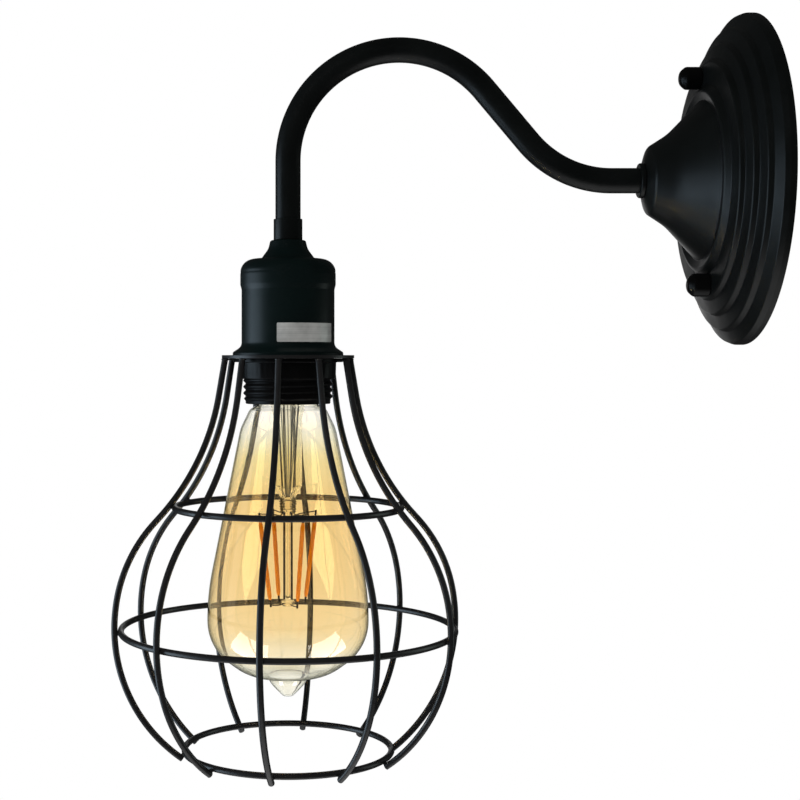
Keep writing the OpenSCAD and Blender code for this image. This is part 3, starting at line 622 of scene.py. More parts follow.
add(coated, "black_coat", (0.0012, 0.0016, 0.0015), (0.0024, 0.0030, 0.0029), 0.33, 0.44, specular=0.26)
add(coated, "cage_coat", (0.0060, 0.0058, 0.0059), (0.0098, 0.0094, 0.0096), 0.28, 0.40, specular=0.40)
add(coated, "black_gloss", (0.0008, 0.0008, 0.0008), (0.0016, 0.0016, 0.0016), 0.24, 0.34,
    grain=4, specular=0.14)
add(coated, "cup_coat", (0.0008, 0.0028, 0.0027), (0.0013, 0.0042, 0.0041), 0.35, 0.44, specular=0.27)
add(coated, "black_plastic", (0.0014, 0.0014, 0.0014), (0.0026, 0.0026, 0.0026), 0.32, 0.44,
    grain=10, specular=0.11)
add(coated, "white_plastic", (0.66, 0.65, 0.60), (0.74, 0.73, 0.69), 0.32, 0.45, grain=20)
add(coated, "white_ceramic", (0.70, 0.69, 0.66), (0.78, 0.77, 0.74), 0.45, 0.6, grain=40)
add(coated, "brown_sleeve", (0.09, 0.035, 0.012), (0.12, 0.05, 0.02), 0.35, 0.5, grain=10)
add(coated, "blue_sleeve", (0.012, 0.06, 0.30), (0.02, 0.09, 0.38), 0.35, 0.5, grain=10)
add(striped, "green_sleeve", (0.03, 0.20, 0.03), (0.62, 0.52, 0.03))
add(coated, "filament", (0.72, 0.240, 0.006), (0.82, 0.300, 0.011), 0.45, 0.6, grain=30, specular=0.1)
add(coated, "black_glass", (0.004, 0.004, 0.005), (0.008, 0.008, 0.009), 0.06, 0.12, grain=10)
add(coated, "board", (0.02, 0.11, 0.04), (0.03, 0.15, 0.06), 0.35, 0.5, grain=20)
add(brushed, "foil", (0.27, 0.275, 0.265), (0.52, 0.52, 0.50), 0.26, 0.42)
add(metal, "zinc", (0.46, 0.47, 0.48), (0.60, 0.60, 0.59), 0.26, 0.42, metallic=0.7)
add(metal, "brass", (0.58, 0.40, 0.15), (0.72, 0.53, 0.23), 0.22, 0.36)
add(metal, "dark_wire", (0.012, 0.010, 0.007), (0.026, 0.021, 0.016), 0.3, 0.5)
add(coated, "nickel_wire", (0.17, 0.17, 0.145), (0.30, 0.30, 0.26), 0.3, 0.45,
    grain=5, grain_scale=1800.0, specular=0.3)
add(metal, "cap_metal", (0.56, 0.55, 0.52), (0.70, 0.69, 0.66), 0.2, 0.34, metallic=0.8)
add(metal, "solder", (0.50, 0.50, 0.50), (0.62, 0.62, 0.62), 0.25, 0.45)
add(glass, "amber_glass", AMBER_AND_SHADE_STOPS, *AMBER_LEVELS)
# The crimp colour is painted light: near black as painted shade in the pinched glass, with lighter brown
# specks as painted glints
add(coated, "crimp", (0.018, 0.015, 0.007), (0.16, 0.135, 0.065), 0.12, 0.25,
    grain=30, grain_scale=900.0, cloud_scale=900.0)
add(glass, "clear_glass", CLEAR_STOPS, *CLEAR_LEVELS)

for part in frame["record"]["subparts"]:
    cad = nodes[part["node"]]
    cad.data.materials.clear()
    cad.data.materials.append(LOOKS[part["material_slot"]])
    for polygon in cad.data.polygons:
        polygon.material_index = 0

# ---------------------------------------------------------------- canopy


def canopy_steps():
    """Corners of the stepped bands, from the rim in to the flat disc."""
    lowest = RIM_H + BAND_RISE + STEP_DROP
    out = []
    for i in reversed(range(STEPS)):
        r = DISC_R + i * (CANOPY_R - DISC_R) / STEPS
        h = DISC_H - i * (DISC_H - lowest) / (STEPS - 1)
        out += [(r + STEP_LEAN, h - STEP_DROP, 0.6), (r, h, 1.1)]
    return out


canopy_path = [
    (CANOPY_R, 0, 0), (CANOPY_R, RIM_H - 2, 0.8), (CANOPY_R - 0.8, RIM_H, 0.8),
    *canopy_steps(),
    (CONE_R + 6.2, DISC_H, 0.8), (CONE_R + 3.8, DISC_H + 2.7, 1.8), (CONE_R, DISC_H + 1.7, 0.5),
    (NOSE_R + 4.9, CANOPY_H - 9.7, 25), (NOSE_R, CANOPY_H - 2, 2.4),
    (FACE_R, CANOPY_H, 3), (TUBE_R + PLAY, CANOPY_H, 0),
]


def groove(p, a):
    """A shallow spun groove in the outermost band."""
    middle_r, half_width, depth, least_h = 61.7, 1.9, 0.16, 3.5
    off = (p.x - middle_r) / half_width
    if p.y < least_h or abs(off) > 1:
        return p
    return Vector((p.x, p.y - depth * math.cos(off * math.pi / 2) ** 2))


canopy_shell = lathe("canopy_shell", sheet(canopy_path, CANOPY_SHEET), wall_frame, LOOKS["black_coat"],
                     segs=288, ripple=groove)
place(canopy_shell, "fixture", ["canopy"])


def collar(name, r, foot, height, corners, where):
    """A turned sleeve round the tube. corners holds the radii of its two outer edges."""
    path = [(TUBE_R + PLAY, foot, 0), (r, foot, corners[0]), (r, foot + height, corners[1]),
            (TUBE_R + PLAY, foot + height, 0)]
    return lathe(name, rounded(path), where, LOOKS["black_coat"], segs=96)


nose_collar = collar("nose_collar_turned", NOSE_COLLAR_R, CANOPY_H + SEAT, NOSE_COLLAR_T,
                     (0.3, 0.6), wall_frame)
place(nose_collar, "fixture", ["nose_collar"])


def cap_nut(name, side):
    """A domed nut on the upper (1) or lower (-1) stud."""
    cx, cz = -side * STUD_REACH * math.sin(STUD_ANGLE), side * STUD_REACH * math.cos(STUD_ANGLE)
    seat = DISC_H + SEAT
    wall = seat + CAP_NUT_WALL_H
    top = wall + CAP_NUT_DOME_H
    bore = seat + CAP_NUT_BORE_H
    bore_r = STUD_R + PLAY
    outside = [(bore_r, seat, 0), (CAP_NUT_R, seat, 0.3), (CAP_NUT_R, wall, 1.6),
               (CAP_NUT_R / 1.8, top, 3), (0, top, 0)]

    def where(p, a):
        return Vector(((p.x * math.cos(a) + cx) * MM, -p.y * MM, (p.x * math.sin(a) + cz) * MM))

    profile = rounded(outside, 0.6) + [Vector((0, bore)), Vector((bore_r, bore))]
    return lathe(name, profile, where, LOOKS["black_gloss"], segs=64)


place(cap_nut("cap_nut_upper_turned", 1), "cap_nut_upper", ["cap_nut_upper"])
place(cap_nut("cap_nut_lower_turned", -1), "cap_nut_lower", ["cap_nut_lower"])

# ---------------------------------------------------------------- arm


def arm_points():
    """The tube's centreline as (distance from the wall, level)."""
    out = [(ARM_IN_H, 0.0), (40.0, 0.0), (BEND_H - 1, 0.0)]
    for k in range(33):
        t = SLOPE * k / 32
        out.append((BEND_H + LOW_BEND_R * math.sin(t), LOW_BEND_R * (1 - math.cos(t))))
    sx, sz = out[-1]
    ex, ez = sx + SLOPE_LEN * math.cos(SLOPE), sz + SLOPE_LEN * math.sin(SLOPE)
    out += [(sx + (ex - sx) * k / 6, sz + (ez - sz) * k / 6) for k in range(1, 6)]
    cx, cz = ex + TOP_BEND_R * math.sin(SLOPE), ez - TOP_BEND_R * math.cos(SLOPE)
    for k in range(97):
        t = SLOPE - (SLOPE + math.pi / 2) * k / 96
        out.append((cx - TOP_BEND_R * math.sin(t), cz + TOP_BEND_R * math.cos(t)))
    return out + [(out[-1][0], z) for z in (0.0, -10.0, -20.0, TUBE_FOOT_Z)]


tube = bmesh.new()
sweep_into(tube, [Vector((0, -x * MM, z * MM)) for x, z in arm_points()], TUBE_R, segs=48)
place(finish_mesh(tube, "arm_tube_bent", LOOKS["black_coat"]), "fixture", ["arm_tube"])

arm_collar = collar("arm_collar_turned", ARM_COLLAR_R, COLLAR_Z - ARM_COLLAR_H, ARM_COLLAR_H,
                    (0.2, 0.2), lamp_frame)
place(arm_collar, "fixture", ["arm_collar"])

# ---------------------------------------------------------------- cup and label

# Down the outside, from the neck's top
cup_path = [
    (TUBE_R + PLAY, 0, 0), (CUP_NECK_R, 0, 0.9), (7.8, -3.4, 6), (10.6, -7.2, 0.9), (CUP_BAND_R, -7.9, 5.4),
    (CUP_BAND_R, -17.6, 1.2), (CUP_R, -19.6, 1.6), (CUP_R, -42.0, 3), (CUP_FLANGE_R, -44.3, 0.9),
    (CUP_FLANGE_R, -CUP_H, 0),
]


def cup_cuts(p, q):
    """The cup's long upright sides are cut finely, so that the crease has points to move."""
    length = (q - p).length
    return round(length / 0.25) if min(p.x, q.x) > 17.5 and length > 1 else 1


def crease(p, a):
    """The fine line where the spun shoulder meets the band."""
    middle, reach, width, depth, least_r = 12.7, 1.7, 0.45, 0.13, 17.0
    off = CUP_Z - p.y - middle
    if p.x < least_r or abs(off) > reach:
        return p
    return Vector((p.x - depth * math.exp(-(off / width) ** 2), p.y))


cup_loop = divided(sheet(cup_path, -CUP_SHEET), cup_cuts)
holder_cup = lathe("holder_cup_spun", raised(cup_loop, CUP_Z), lamp_frame, LOOKS["cup_coat"],
                   segs=192, ripple=crease)
place(holder_cup, "fixture", ["holder_cup"])


def label():
    """Foil wrapped on the cup, its corners a little rounded."""
    bm = bmesh.new()
    cols, rows, corner, middle_r = 90, 12, 0.3, 18.5
    length = LABEL_ARC * middle_r
    foot = CUP_Z - LABEL_FOOT_D
    grid = {}
    for side, r in enumerate((CUP_R + PLAY, CUP_R + PLAY + LABEL_T)):
        for i in range(cols + 1):
            s = length * i / cols
            inward = corner - min(s, length - s, corner)
            inset = corner - math.sqrt(max(corner ** 2 - inward ** 2, 0))
            for j in range(rows + 1):
                t = inset + (LABEL_H - 2 * inset) * j / rows
                grid[side, i, j] = bm.verts.new(polar(r, LABEL_START + s / middle_r, foot + t))
    for side in (0, 1):
        for i in range(cols):
            for j in range(rows):
                corners = [(i, j), (i + 1, j), (i + 1, j + 1), (i, j + 1)]
                bm.faces.new([grid[(side, *at)] for at in corners])
    edge = [(i, 0) for i in range(cols)] + [(cols, j) for j in range(rows)] + \
        [(i, rows) for i in range(cols, 0, -1)] + [(0, j) for j in range(rows, 0, -1)]
    for a, b in zip(edge, edge[1:] + edge[:1]):
        bm.faces.new((grid[(0, *a)], grid[(1, *a)], grid[(1, *b)], grid[(0, *b)]))
    return finish_mesh(bm, "rating_label_foil", LOOKS["foil"])


place(label(), "fixture", ["rating_label"])

# ---------------------------------------------------------------- shade ring and skirt


def fluted(p, a):
    """Fine grip flutes round the ring's body."""
    flutes, depth, least_r, top, foot = 48, 0.05, 18.6, 2.0, 7.4
    if p.x > least_r and top < RING_TOP_Z - p.y < foot:
        return Vector((p.x - depth * (0.5 + 0.5 * math.cos(flutes * a)), p.y))
    return p


ring_bore_r = SKIRT_R + PLAY
ring_lip = RING_FLANGE_T + RING_RISE
ring_foot = RING_H + RING_RISE
ring_profile = rounded([
    (ring_bore_r, 0, 0), (RING_FLANGE_R, 0, 0.3), (RING_FLANGE_R, -ring_lip, 0.4),
    (RING_R + 0.2, -ring_lip, 0.3), (RING_R, -ring_foot, 0.6), (ring_bore_r, -ring_foot, 0),
])
ring_loop = divided(ring_profile, lambda p, q: int((q - p).length))
shade_ring = lathe("shade_ring_moulded", raised(ring_loop, RING_TOP_Z), lamp_frame, LOOKS["black_plastic"],
                   segs=480, ripple=fluted)
place(shade_ring, "shade_ring", ["shade_ring"])

skirt_root_r = SKIRT_R - SKIRT_THREAD
skirt_thread_z = SKIRT_FOOT_Z + 1.04
skirt_chamfer = 0.25
skirt_spigot_r = 15.15
skirt_profile = [
    Vector((SKIRT_IN_R, SKIRT_FOOT_Z)), Vector((skirt_root_r - skirt_chamfer, SKIRT_FOOT_Z)),
    Vector((skirt_root_r, SKIRT_FOOT_Z + skirt_chamfer)),
    *upright(skirt_root_r, skirt_thread_z, 16.0, count=89),
    Vector((skirt_root_r, SKIRT_TOP_Z)), Vector((skirt_spigot_r, SKIRT_TOP_Z)),
    Vector((skirt_spigot_r, SHELL_Z)), Vector((SKIRT_IN_R, SHELL_Z)),
]
skirt_thread = screwed([skirt_root_r], SKIRT_THREAD, skirt_thread_z, 6.3, SKIRT_PITCH, sharpness=0.8)
holder_skirt = lathe("holder_skirt_moulded", skirt_profile, lamp_frame, LOOKS["black_plastic"],
                     sharp=60.0, ripple=skirt_thread)
place(holder_skirt, "fixture", ["holder_skirt"])

# ---------------------------------------------------------------- cage

RING_OFFSET = 2 * WIRE_R + WELD
RIB_ANGLES = [RIB_ANGLE + TURN * k / RIB_COUNT for k in range(RIB_COUNT)]


def rib_profile():
    """Points down a rib as (radius, level, lean), and where each ring touches it."""
    r, z, lean = RIB_TOP_R, PLATE_FOOT_Z - WIRE_R * math.sin(RIB_LEAN) - WELD, RIB_LEAN
    out, marks = [(r, z, lean)], {}

    def bend(radius, turn, side, steps):
        nonlocal r, z, lean
        r0, z0, a0 = r, z, lean
        for k in range(1, steps + 1):
            lean = a0 + side * math.radians(turn) * k / steps
            r = r0 + side * radius * (math.cos(a0) - math.cos(lean))
            z = z0 - side * radius * (math.sin(lean) - math.sin(a0))
            out.append((r, z, lean))

    def run(length, steps):
        nonlocal r, z
        for _ in range(steps):
            r += math.sin(lean) * length / steps
            z -= math.cos(lean) * length / steps
            out.append((r, z, lean))

    straight, link, belly_link, overhang = 14.6, 2.6, 0.6, 0.5
    flare_r, belly_r, under_r = 93.4, 58.0, 63.7
    run(straight, 4)
    bend(flare_r, 29.0, 1, 26)
    marks["cage_shoulder_ring"] = (r, z, lean)
    bend(flare_r, 4.1, 1, 4)
    run(link, 1)
    bend(belly_r, 35.6, -1, 24)
    run(belly_link, 1)
    bend(under_r, 9.0, -1, 7)
    marks["cage_middle_ring"] = (r, z, lean)
    bend(under_r, 52.0, -1, 36)
    marks["cage_foot_ring"] = (r, z, lean)
    run(overhang, 1)
    return out, marks


def in_from(r, z, lean, gap):
    """The place at a gap inside a rib's centreline, square to it."""
    return r - gap * math.cos(lean), z - gap * math.sin(lean)


rib_line, rib_marks = rib_profile()
ribs = bmesh.new()
for a in RIB_ANGLES:
    across = Vector((-math.sin(a), math.cos(a), 0))
    sweep_into(ribs, [polar(r, a, z) for r, z, lean in rib_line], WIRE_R, segs=24, reference=across)
place(finish_mesh(ribs, "cage_ribs_wire", LOOKS["cage_coat"]), "cage", ["cage_ribs"])

wire_sides = [TURN * k / 24 for k in range(24)]
for cad_name, mark in rib_marks.items():
    cr, cz = in_from(*mark, RING_OFFSET)
    loop = [Vector((cr + WIRE_R * math.cos(a), cz + WIRE_R * math.sin(a))) for a in wire_sides]
    cage_ring = lathe(cad_name + "_wire", loop, lamp_frame, LOOKS["cage_coat"], segs=240)
    place(cage_ring, "cage", [cad_name])

# Half sizes of the weld beads
RING_BEAD = (0.95, 0.95, 0.95)
RIB_BEAD = (1.6, 1.6, 0.65)

beads = bmesh.new()
bead_seed = 1
for mark in rib_marks.values():
    for a in RIB_ANGLES:
        r, z = in_from(*mark, RING_OFFSET / 2)
        blob_into(beads, polar(r, a, z), RING_BEAD, bead_seed)
        bead_seed += 1
for a in RIB_ANGLES:
    blob_into(beads, polar(25.0, a, PLATE_FOOT_Z - 0.41), RIB_BEAD, bead_seed)
    bead_seed += 1
place(finish_mesh(beads, "cage_weld_beads", LOOKS["cage_coat"], 60), "cage")

plate_r = RIB_TOP_R + PLATE_LAP
plate_hole_r = SKIRT_R + 4 * PLAY
plate_start = (22.0, PLATE_TOP_Z, 0)
plate_loop = rounded([
    plate_start, (plate_r, PLATE_TOP_Z, 0.15), (plate_r, PLATE_FOOT_Z, 0.15),
    (plate_hole_r, PLATE_FOOT_Z, 0.15), (plate_hole_r, PLATE_TOP_Z, 0.15), plate_start,
])[:-1]
cage_plate = lathe("cage_plate_pressed", plate_loop, lamp_frame, LOOKS["cage_coat"])
place(cage_plate, "cage", ["cage_plate"])

# ---------------------------------------------------------------- bulb: glass and stem

glass_path = [
    (NECK_R, NECK_Z, 0), (NECK_R, CAP_FOOT_Z - 0.4, 0.9), (NECK_R + 3.6, CAP_FOOT_Z - 2.4, 3),
    (18.9, CAP_FOOT_Z - 10, 16), (GLASS_R, BELLY_FOOT_Z + 33, 98), (GLASS_R, BELLY_FOOT_Z + 12.5, 20),
    (0.53 * GLASS_R, BELLY_FOOT_Z + 1.6, 20), (DROP_R, BELLY_FOOT_Z + 0.3, 0.5),
    (6.6, BULB_FOOT_Z + 4.74, 8), (3.6, BULB_FOOT_Z + 1.64, 6), (1.9, BULB_FOOT_Z, 1.6), (0, BULB_FOOT_Z, 0),
]
bulb_glass = lathe("bulb_glass_blown", sheet(glass_path, -GLASS_T), lamp_frame, LOOKS["amber_glass"],
                   segs=256, sharp=50)
place(bulb_glass, "bulb", ["bulb_glass"])

stem_path = [
    (10.4, STEM_Z, 0), (STEM_R + 1, STEM_Z - 4.06, 4), (STEM_R, STEM_Z - 9, 8), (STEM_R, PINCH_Z + 10, 3),
    (PINCH_R, PINCH_Z + 5, 2), (PINCH_R, PINCH_Z, 0), (0, PINCH_Z, 0),
]
bulb_stem = lathe("bulb_stem_drawn", sheet(stem_path, -STEM_T), lamp_frame, LOOKS["clear_glass"],
                  segs=96, sharp=50)
place(bulb_stem, "bulb", ["bulb_stem"])

# ---------------------------------------------------------------- bulb: filaments and wires

STICK_R = 0.86
THICK_WIRE_R = 0.42
FOOT_WIRE_R = 0.22
TOP_WIRE_R = 0.24
POST_Y = 1.5

sticks = bmesh.new()
foot_wires = bmesh.new()
top_wires = bmesh.new()


def stick_swell(t):
    """A filament's coat: narrower at its ends, very slightly beaded between them."""
    return min(1.0, 0.55 + 9 * min(t, 1 - t)) * (1 + 0.03 * math.sin(40 * t))


for a in FILAMENT_ANGLES:
    top, foot = polar(FILAMENT_TOP_R, a, FILAMENT_Z), polar(FILAMENT_FOOT_R, a, FILAMENT_FOOT_Z)
    across = Vector((-math.sin(a), math.cos(a), 0))
    sweep_into(sticks, [top.lerp(foot, k / 30) for k in range(31)], STICK_R, 16, across, stick_swell)
    down = (foot - top).normalized() * MM
    sweep_into(foot_wires, [foot - down * 0.3, foot + down * 2.9], THICK_WIRE_R, 12, across)
    hook = foot + down * 2.2
    inner = polar(2.2, a, SPIDER_Z - 0.66)
    sag = Vector((0, 0, -0.25 * MM))
    sweep_into(foot_wires, eased([inner, inner.lerp(hook, 0.5) + sag, hook]), FOOT_WIRE_R, 10, across)
    sweep_into(top_wires, [top + down * 0.3, top - down * 3.4], THICK_WIRE_R, 12, across)
    spoke = [polar(2.0, a, PINCH_Z + 0.14), polar(3.4, a, PINCH_Z - 1.36),
             polar(6.0, a, PINCH_Z - 0.96), top - down * 3.0]
    sweep_into(top_wires, eased(spoke), TOP_WIRE_R, 10, across)
stick_piece = finish_mesh(sticks, "bulb_filament_sticks", LOOKS["filament"], 50)
place(stick_piece, "bulb", ["bulb_filaments"])

rod_profile = rounded([
    (0, PINCH_Z - 0.06, 0), (1.0, PINCH_Z - 0.06, 0), (1.0, FILAMENT_FOOT_Z - 0.26, 0.4),
    (2.5, FILAMENT_FOOT_Z - 0.66, 0.7), (2.6, FILAMENT_FOOT_Z - 2.96, 1.0), (0, FILAMENT_FOOT_Z - 3.36, 0),
], 0.7)


def crown(p, a):
    """Four soft lobes where the wires are pressed into the button."""
    if p.x < 1.2 or p.y > FILAMENT_FOOT_Z - 0.16:
        return p
    return Vector((p.x * (1 + 0.09 * math.cos(4 * (a - FILAMENT_ANGLES[0]))), p.y))


bulb_rod = lathe("bulb_rod_drawn", rod_profile, lamp_frame, LOOKS["clear_glass"],
                 segs=64, closed=False, sharp=50, ripple=crown)
place(bulb_rod, "bulb", ["bulb_rod"])

post_levels = (PINCH_Z - 0.46, -150.0, SPIDER_Z + 0.74)
for side in (-1, 1):
    sweep_into(foot_wires, [at_lamp(0, side * POST_Y, z) for z in post_levels], THICK_WIRE_R, 14)
foot_piece = finish_mesh(foot_wires, "bulb_foot_wires", LOOKS["dark_wire"], 50)
place(foot_piece, "bulb", ["bulb_foot_spider"])

# Two leads on each side run down inside the stem, as (x, y, level), half a turn apart on the two sides
THICK_LEAD = [(0.6, 4.2, -87), (0.3, 3.4, -100), (0, 2.4, -118), (0, 1.9, -126)]
THICK_LEAD_R = 0.36
THIN_LEAD = [(-1.5, 1.9, -87), (-1.0, 1.5, -104), (-0.4, 0.9, -124)]
THIN_LEAD_R = 0.26
for side in (-1, 1):
    for route, radius in ((THICK_LEAD, THICK_LEAD_R), (THIN_LEAD, THIN_LEAD_R)):
        sweep_into(top_wires, eased([at_lamp(side * x, side * y, z) for x, y, z in route]), radius, 12)
top_piece = finish_mesh(top_wires, "bulb_top_wires", LOOKS["dark_wire"], 50)
place(top_piece, "bulb", ["bulb_top_spider"])

strands = bmesh.new()
for k in range(5):
    lean = -2.9 + 1.35 * k
    route = [at_lamp(0.9 * math.cos(k), lean, -87.5), at_lamp(0.7 * math.cos(2 * k), 0.75 * lean + 0.3, -106),
             at_lamp(0.2 * math.cos(3 * k), 0.35 * lean, -124.5)]
    sweep_into(strands, eased(route), 0.17 + 0.05 * (k % 2), 10)
place(finish_mesh(strands, "bulb_stem_strands", LOOKS["nickel_wire"], 50), "bulb")

# Half sizes of the pinched folds of glass, and the level of the top one
CRIMP_SIZE = (1.1, 1.15, 0.62)
CRIMP_Z = PINCH_Z + 5.04

# The folds are drawn opaque in the crimp colour of painted shade and painted glints
pinch = bmesh.new()
for side in (-1, 1):
    for k in range(6):
        centre = at_lamp(0.1 * side, side * (2.35 - 0.05 * k), CRIMP_Z - k)
        blob_into(pinch, centre, CRIMP_SIZE, 50 + k + 10 * side, rows=9, cols=14)
place(finish_mesh(pinch, "bulb_pinch_crimps", LOOKS["crimp"], 60), "bulb")

# ---------------------------------------------------------------- bulb: cap

# The cap is rolled sheet, so its thread shows inside as well
cap_thread_z = CAP_FOOT_Z + 2.64
cap_in_r = CAP_ROOT_R - CAP_T
cap_mouth_r = 9.4
cap_shoulder_z = CAP_Z - 0.8
cap_profile = [
    Vector((CAP_ROOT_R, CAP_FOOT_Z)), *upright(CAP_ROOT_R, cap_thread_z, 18.8, count=95),
    Vector((CAP_ROOT_R, cap_shoulder_z)), Vector((cap_mouth_r, CAP_Z)),
    Vector((cap_mouth_r, CAP_Z - CAP_T)), Vector((cap_in_r, cap_shoulder_z - CAP_T)),
    *reversed(upright(cap_in_r, cap_thread_z, 18.7, count=94)), Vector((cap_in_r, CAP_FOOT_Z)),
]
cap_thread = screwed([CAP_ROOT_R, cap_in_r], 1.0, cap_thread_z, 5.15, CAP_PITCH)
bulb_cap = lathe("bulb_cap_rolled", cap_profile, lamp_frame, LOOKS["cap_metal"],
                 segs=128, sharp=60.0, ripple=cap_thread)
place(bulb_cap, "bulb", ["bulb_cap"])

# ---------------------------------------------------------------- the pieces that keep their CAD form

# Width of the broken edges, in millimetres
EDGES = {
    "wall_bracket": 0.25,
    "stud_nuts": 0.25,
    "nose_lock_nut": 0.3,
    "terminal_block": 0.25,
    "holder_terminals": 0.25,
}


def copied(node, slot):
    """A welded copy of a CAD piece, standing for that piece. Its edges are broken where EDGES names it."""
    bm = bmesh.new()
    bm.from_mesh(nodes[node].data)
    bmesh.ops.remove_doubles(bm, verts=bm.verts, dist=2e-6)
    obj = finish_mesh(bm, node + "_finished", LOOKS[slot], 32)
    if node in EDGES:
        mod = obj.modifiers.new("edge", "BEVEL")
        mod.width = EDGES[node] * MM
        mod.segments = 2
        mod.limit_method = "ANGLE"
        mod.angle_limit = math.radians(40)
    return place(obj, nodes[node]["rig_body"], [node])


for part in frame["record"]["subparts"]:
    if not nodes[part["node"]].hide_render:
        copied(part["node"], part["material_slot"])

# ---------------------------------------------------------------- stage, in metres

FLOOR_CENTRE = (0, -0.12, -0.90)
FLOOR_RADII = (0.3, 0.6, 0.9)
FLOOR_FADE = (0.3, 0.88)
FLOOR_SIDES = 72


def floor_paper():
    """Pale paper that fades out with the distance from the floor's centre."""
    mat, tree, bsdf, where = shader("floor_paper")
    speck = noise(tree, where, 6.0, 3.0)
    path = tree.nodes.new("ShaderNodeLightPath")
    seen = any_ray(tree, path, ("Is Camera Ray", "Is Transmission Ray", "Is Glossy Ray"))
    dress(tree, bsdf, {
        "Base Color": ramp(tree, speck, [(0.3, (0.80, 0.80, 0.80)), (0.7, (0.83, 0.83, 0.83))]),
        "Roughness": 0.9,
        "Specular IOR Level": 0.0,
        "Emission Color": (1, 1, 1, 1),
        "Emission Strength": maths(tree, "MULTIPLY", seen, 0.08),
    })
    away = tree.nodes.new("ShaderNodeVectorMath")
    away.operation = "DISTANCE"
    away.inputs[1].default_value = FLOOR_CENTRE
    feed(tree, where, away.inputs[0])
    clear = tree.nodes.new("ShaderNodeBsdfTransparent")
    blend = tree.nodes.new("ShaderNodeMixShader")
    feed(tree, ranged(tree, away.outputs["Value"], *FLOOR_FADE, kind="SMOOTHSTEP"), blend.inputs["Fac"])
    feed(tree, bsdf.outputs["BSDF"], blend.inputs[1])
    feed(tree, clear.outputs["BSDF"], blend.inputs[2])
    feed(tree, blend.outputs["Shader"], tree.nodes["Material Output"].inputs["Surface"])
    return mat


def stage_floor():
    """A pale round floor that fades into the white room. It takes the object's soft shadow."""
    bm = bmesh.new()
    centre = Vector(FLOOR_CENTRE)
    hub = bm.verts.new(centre)
    angles = [TURN * k / FLOOR_SIDES for k in range(FLOOR_SIDES)]
    rims = []
    for r in FLOOR_RADII:
        rims.append([bm.verts.new(centre + Vector((r * math.cos(a), r * math.sin(a), 0))) for a in angles])
    for k in range(FLOOR_SIDES):
        n = (k + 1) % FLOOR_SIDES
        bm.faces.new((hub, rims[0][k], rims[0][n]))
        for inner, outer in zip(rims, rims[1:]):
            bm.faces.new((inner[k], outer[k], outer[n], inner[n]))
    obj = finish_mesh(bm, "floor", floor_paper())
    return obj


floor = stage_floor()

# ---------------------------------------------------------------- light, in metres and watts


def softbox(name, at, look, width, height, power, roll=0.0, tint=(1, 1, 1)):
    """A rectangular lamp that shines from one place toward another and isn't seen itself."""
    data = bpy.data.lights.new(name, "AREA")
    data.shape = "RECTANGLE"
    data.size, data.size_y = width, height
    data.energy = power
    data.color = tint
    obj = bpy.data.objects.new(name, data)
    obj.location = at
    direction = Vector(look) - Vector(at)
    obj.rotation_euler = direction.to_track_quat("-Z", "Y").to_euler()
    obj.rotation_euler.rotate_axis("Z", math.radians(roll))
    obj.visible_camera = False
    scene.collection.objects.link(obj)
    return obj


def link_light(lamp, pieces, state):
    """INCLUDE: the lamp lights just these pieces. EXCLUDE: it lights all but these."""
    group = bpy.data.collections.new(lamp.name + "_" + state.lower())
    for piece in pieces:
        group.objects.link(piece)
    lamp.light_linking.receiver_collection = group
    for entry in group.collection_objects:
        entry.light_linking.link_state = state


HIDDEN_METAL = (
    "wall_bracket", "bracket_studs", "stud_nuts", "earth_screw", "terminal_screws", "nose_lock_nut",
)
bulb_pieces = [o for o in scene.objects if o.name.startswith("bulb_") and o.type == "MESH"]
hidden_metal = [o for o in scene.objects if o.name.split("_finished")[0] in HIDDEN_METAL]

LAMP_TARGET = (0.0, -0.13, -0.10)
BULB_TARGET = (0.0, -0.18, -0.15)
DROPLET_TARGET = (0.0, -0.18, -0.18)

# The key gives the coats their cool highlight on the left. On the bulb or the floor it would clip.
key = softbox("key_left", (-0.02, -1.35, -0.44), LAMP_TARGET, 1.0, 1.15, 12.5, tint=(0.66, 0.84, 1.0))
link_light(key, bulb_pieces + [floor], "EXCLUDE")
sheen = softbox("bulb_sheen", (0.05, -1.30, -0.15), BULB_TARGET, 0.30, 1.4, 0.55)
link_light(sheen, bulb_pieces, "INCLUDE")
strip = softbox("right_strip", (-0.22, 1.15, 0.05), LAMP_TARGET, 0.45, 1.2, 2.3, tint=(0.85, 1.0, 0.95))
link_light(strip, bulb_pieces, "EXCLUDE")

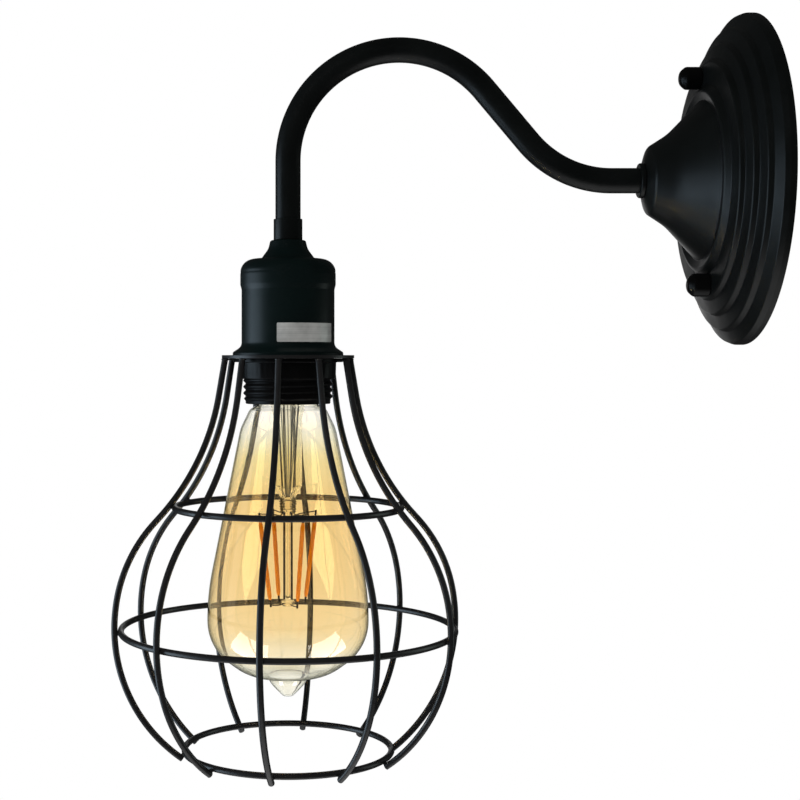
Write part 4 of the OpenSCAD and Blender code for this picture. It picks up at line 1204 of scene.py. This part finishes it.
# The front fill lights without a highlight of its own
front = softbox("front_fill", (1.5, -0.7, 0.75), LAMP_TARGET, 1.1, 1.1, 26.0)
front.visible_glossy = False
front.visible_transmission = False
card = softbox("floor_card", (0.25, -0.25, 1.30), (0.0, -0.15, -0.9), 0.2, 0.2, 20.0)
link_light(card, [floor], "INCLUDE")
back = softbox("back_card", (-0.7, 1.1, 0.25), (0.0, 0.0, 0.0), 1.4, 1.4, 9.0)
link_light(back, hidden_metal, "INCLUDE")

# Two square cards on their corners give the kite-shaped highlights low on the bulb
for name, y in (("under_left", -0.48), ("under_right", 0.12)):
    kite = softbox(name, (0.12, y, -0.46), DROPLET_TARGET, 0.36, 0.36, 2.1, 45.0)
    link_light(kite, bulb_pieces, "INCLUDE")


def studio_world():
    """White to the camera and through glass. Gloss sees white behind the lamp and a dark room elsewhere."""
    backdrop_edge, backdrop_full = -0.965, -0.992
    dark_room, backdrop_white, room_light = 0.03, 1.0, 0.45
    world = bpy.data.worlds.new("studio")
    scene.world = world
    world.use_nodes = True
    tree = world.node_tree
    path = tree.nodes.new("ShaderNodeLightPath")
    split = tree.nodes.new("ShaderNodeSeparateXYZ")
    feed(tree, tree.nodes.new("ShaderNodeTexCoord").outputs["Generated"], split.inputs["Vector"])
    backdrop = ranged(tree, split.outputs["X"], backdrop_edge, backdrop_full, dark_room, backdrop_white)
    room = mixed(tree, "FLOAT", path.outputs["Is Glossy Ray"], room_light, backdrop)
    seen = any_ray(tree, path, ("Is Camera Ray", "Is Transmission Ray"))
    dress(tree, tree.nodes["Background"], {
        "Color": (1, 1, 1, 1),
        "Strength": mixed(tree, "FLOAT", seen, room, 1.0),
    })


studio_world()

# ---------------------------------------------------------------- camera, in metres

camera_data = bpy.data.cameras.new("camera")
camera_data.sensor_width = 36.0
camera_data.lens = 68.175
camera_data.shift_x = 0.1425
camera_data.shift_y = -0.0525
camera_data.clip_start = 0.02
camera_data.clip_end = 30.0
camera = bpy.data.objects.new("camera", camera_data)
camera.location = (0.600, -0.1808, -0.0702)
camera.rotation_euler = Euler((math.pi / 2, 0, math.pi / 2))
scene.collection.objects.link(camera)
scene.camera = camera

scene.view_settings.view_transform = "Standard"
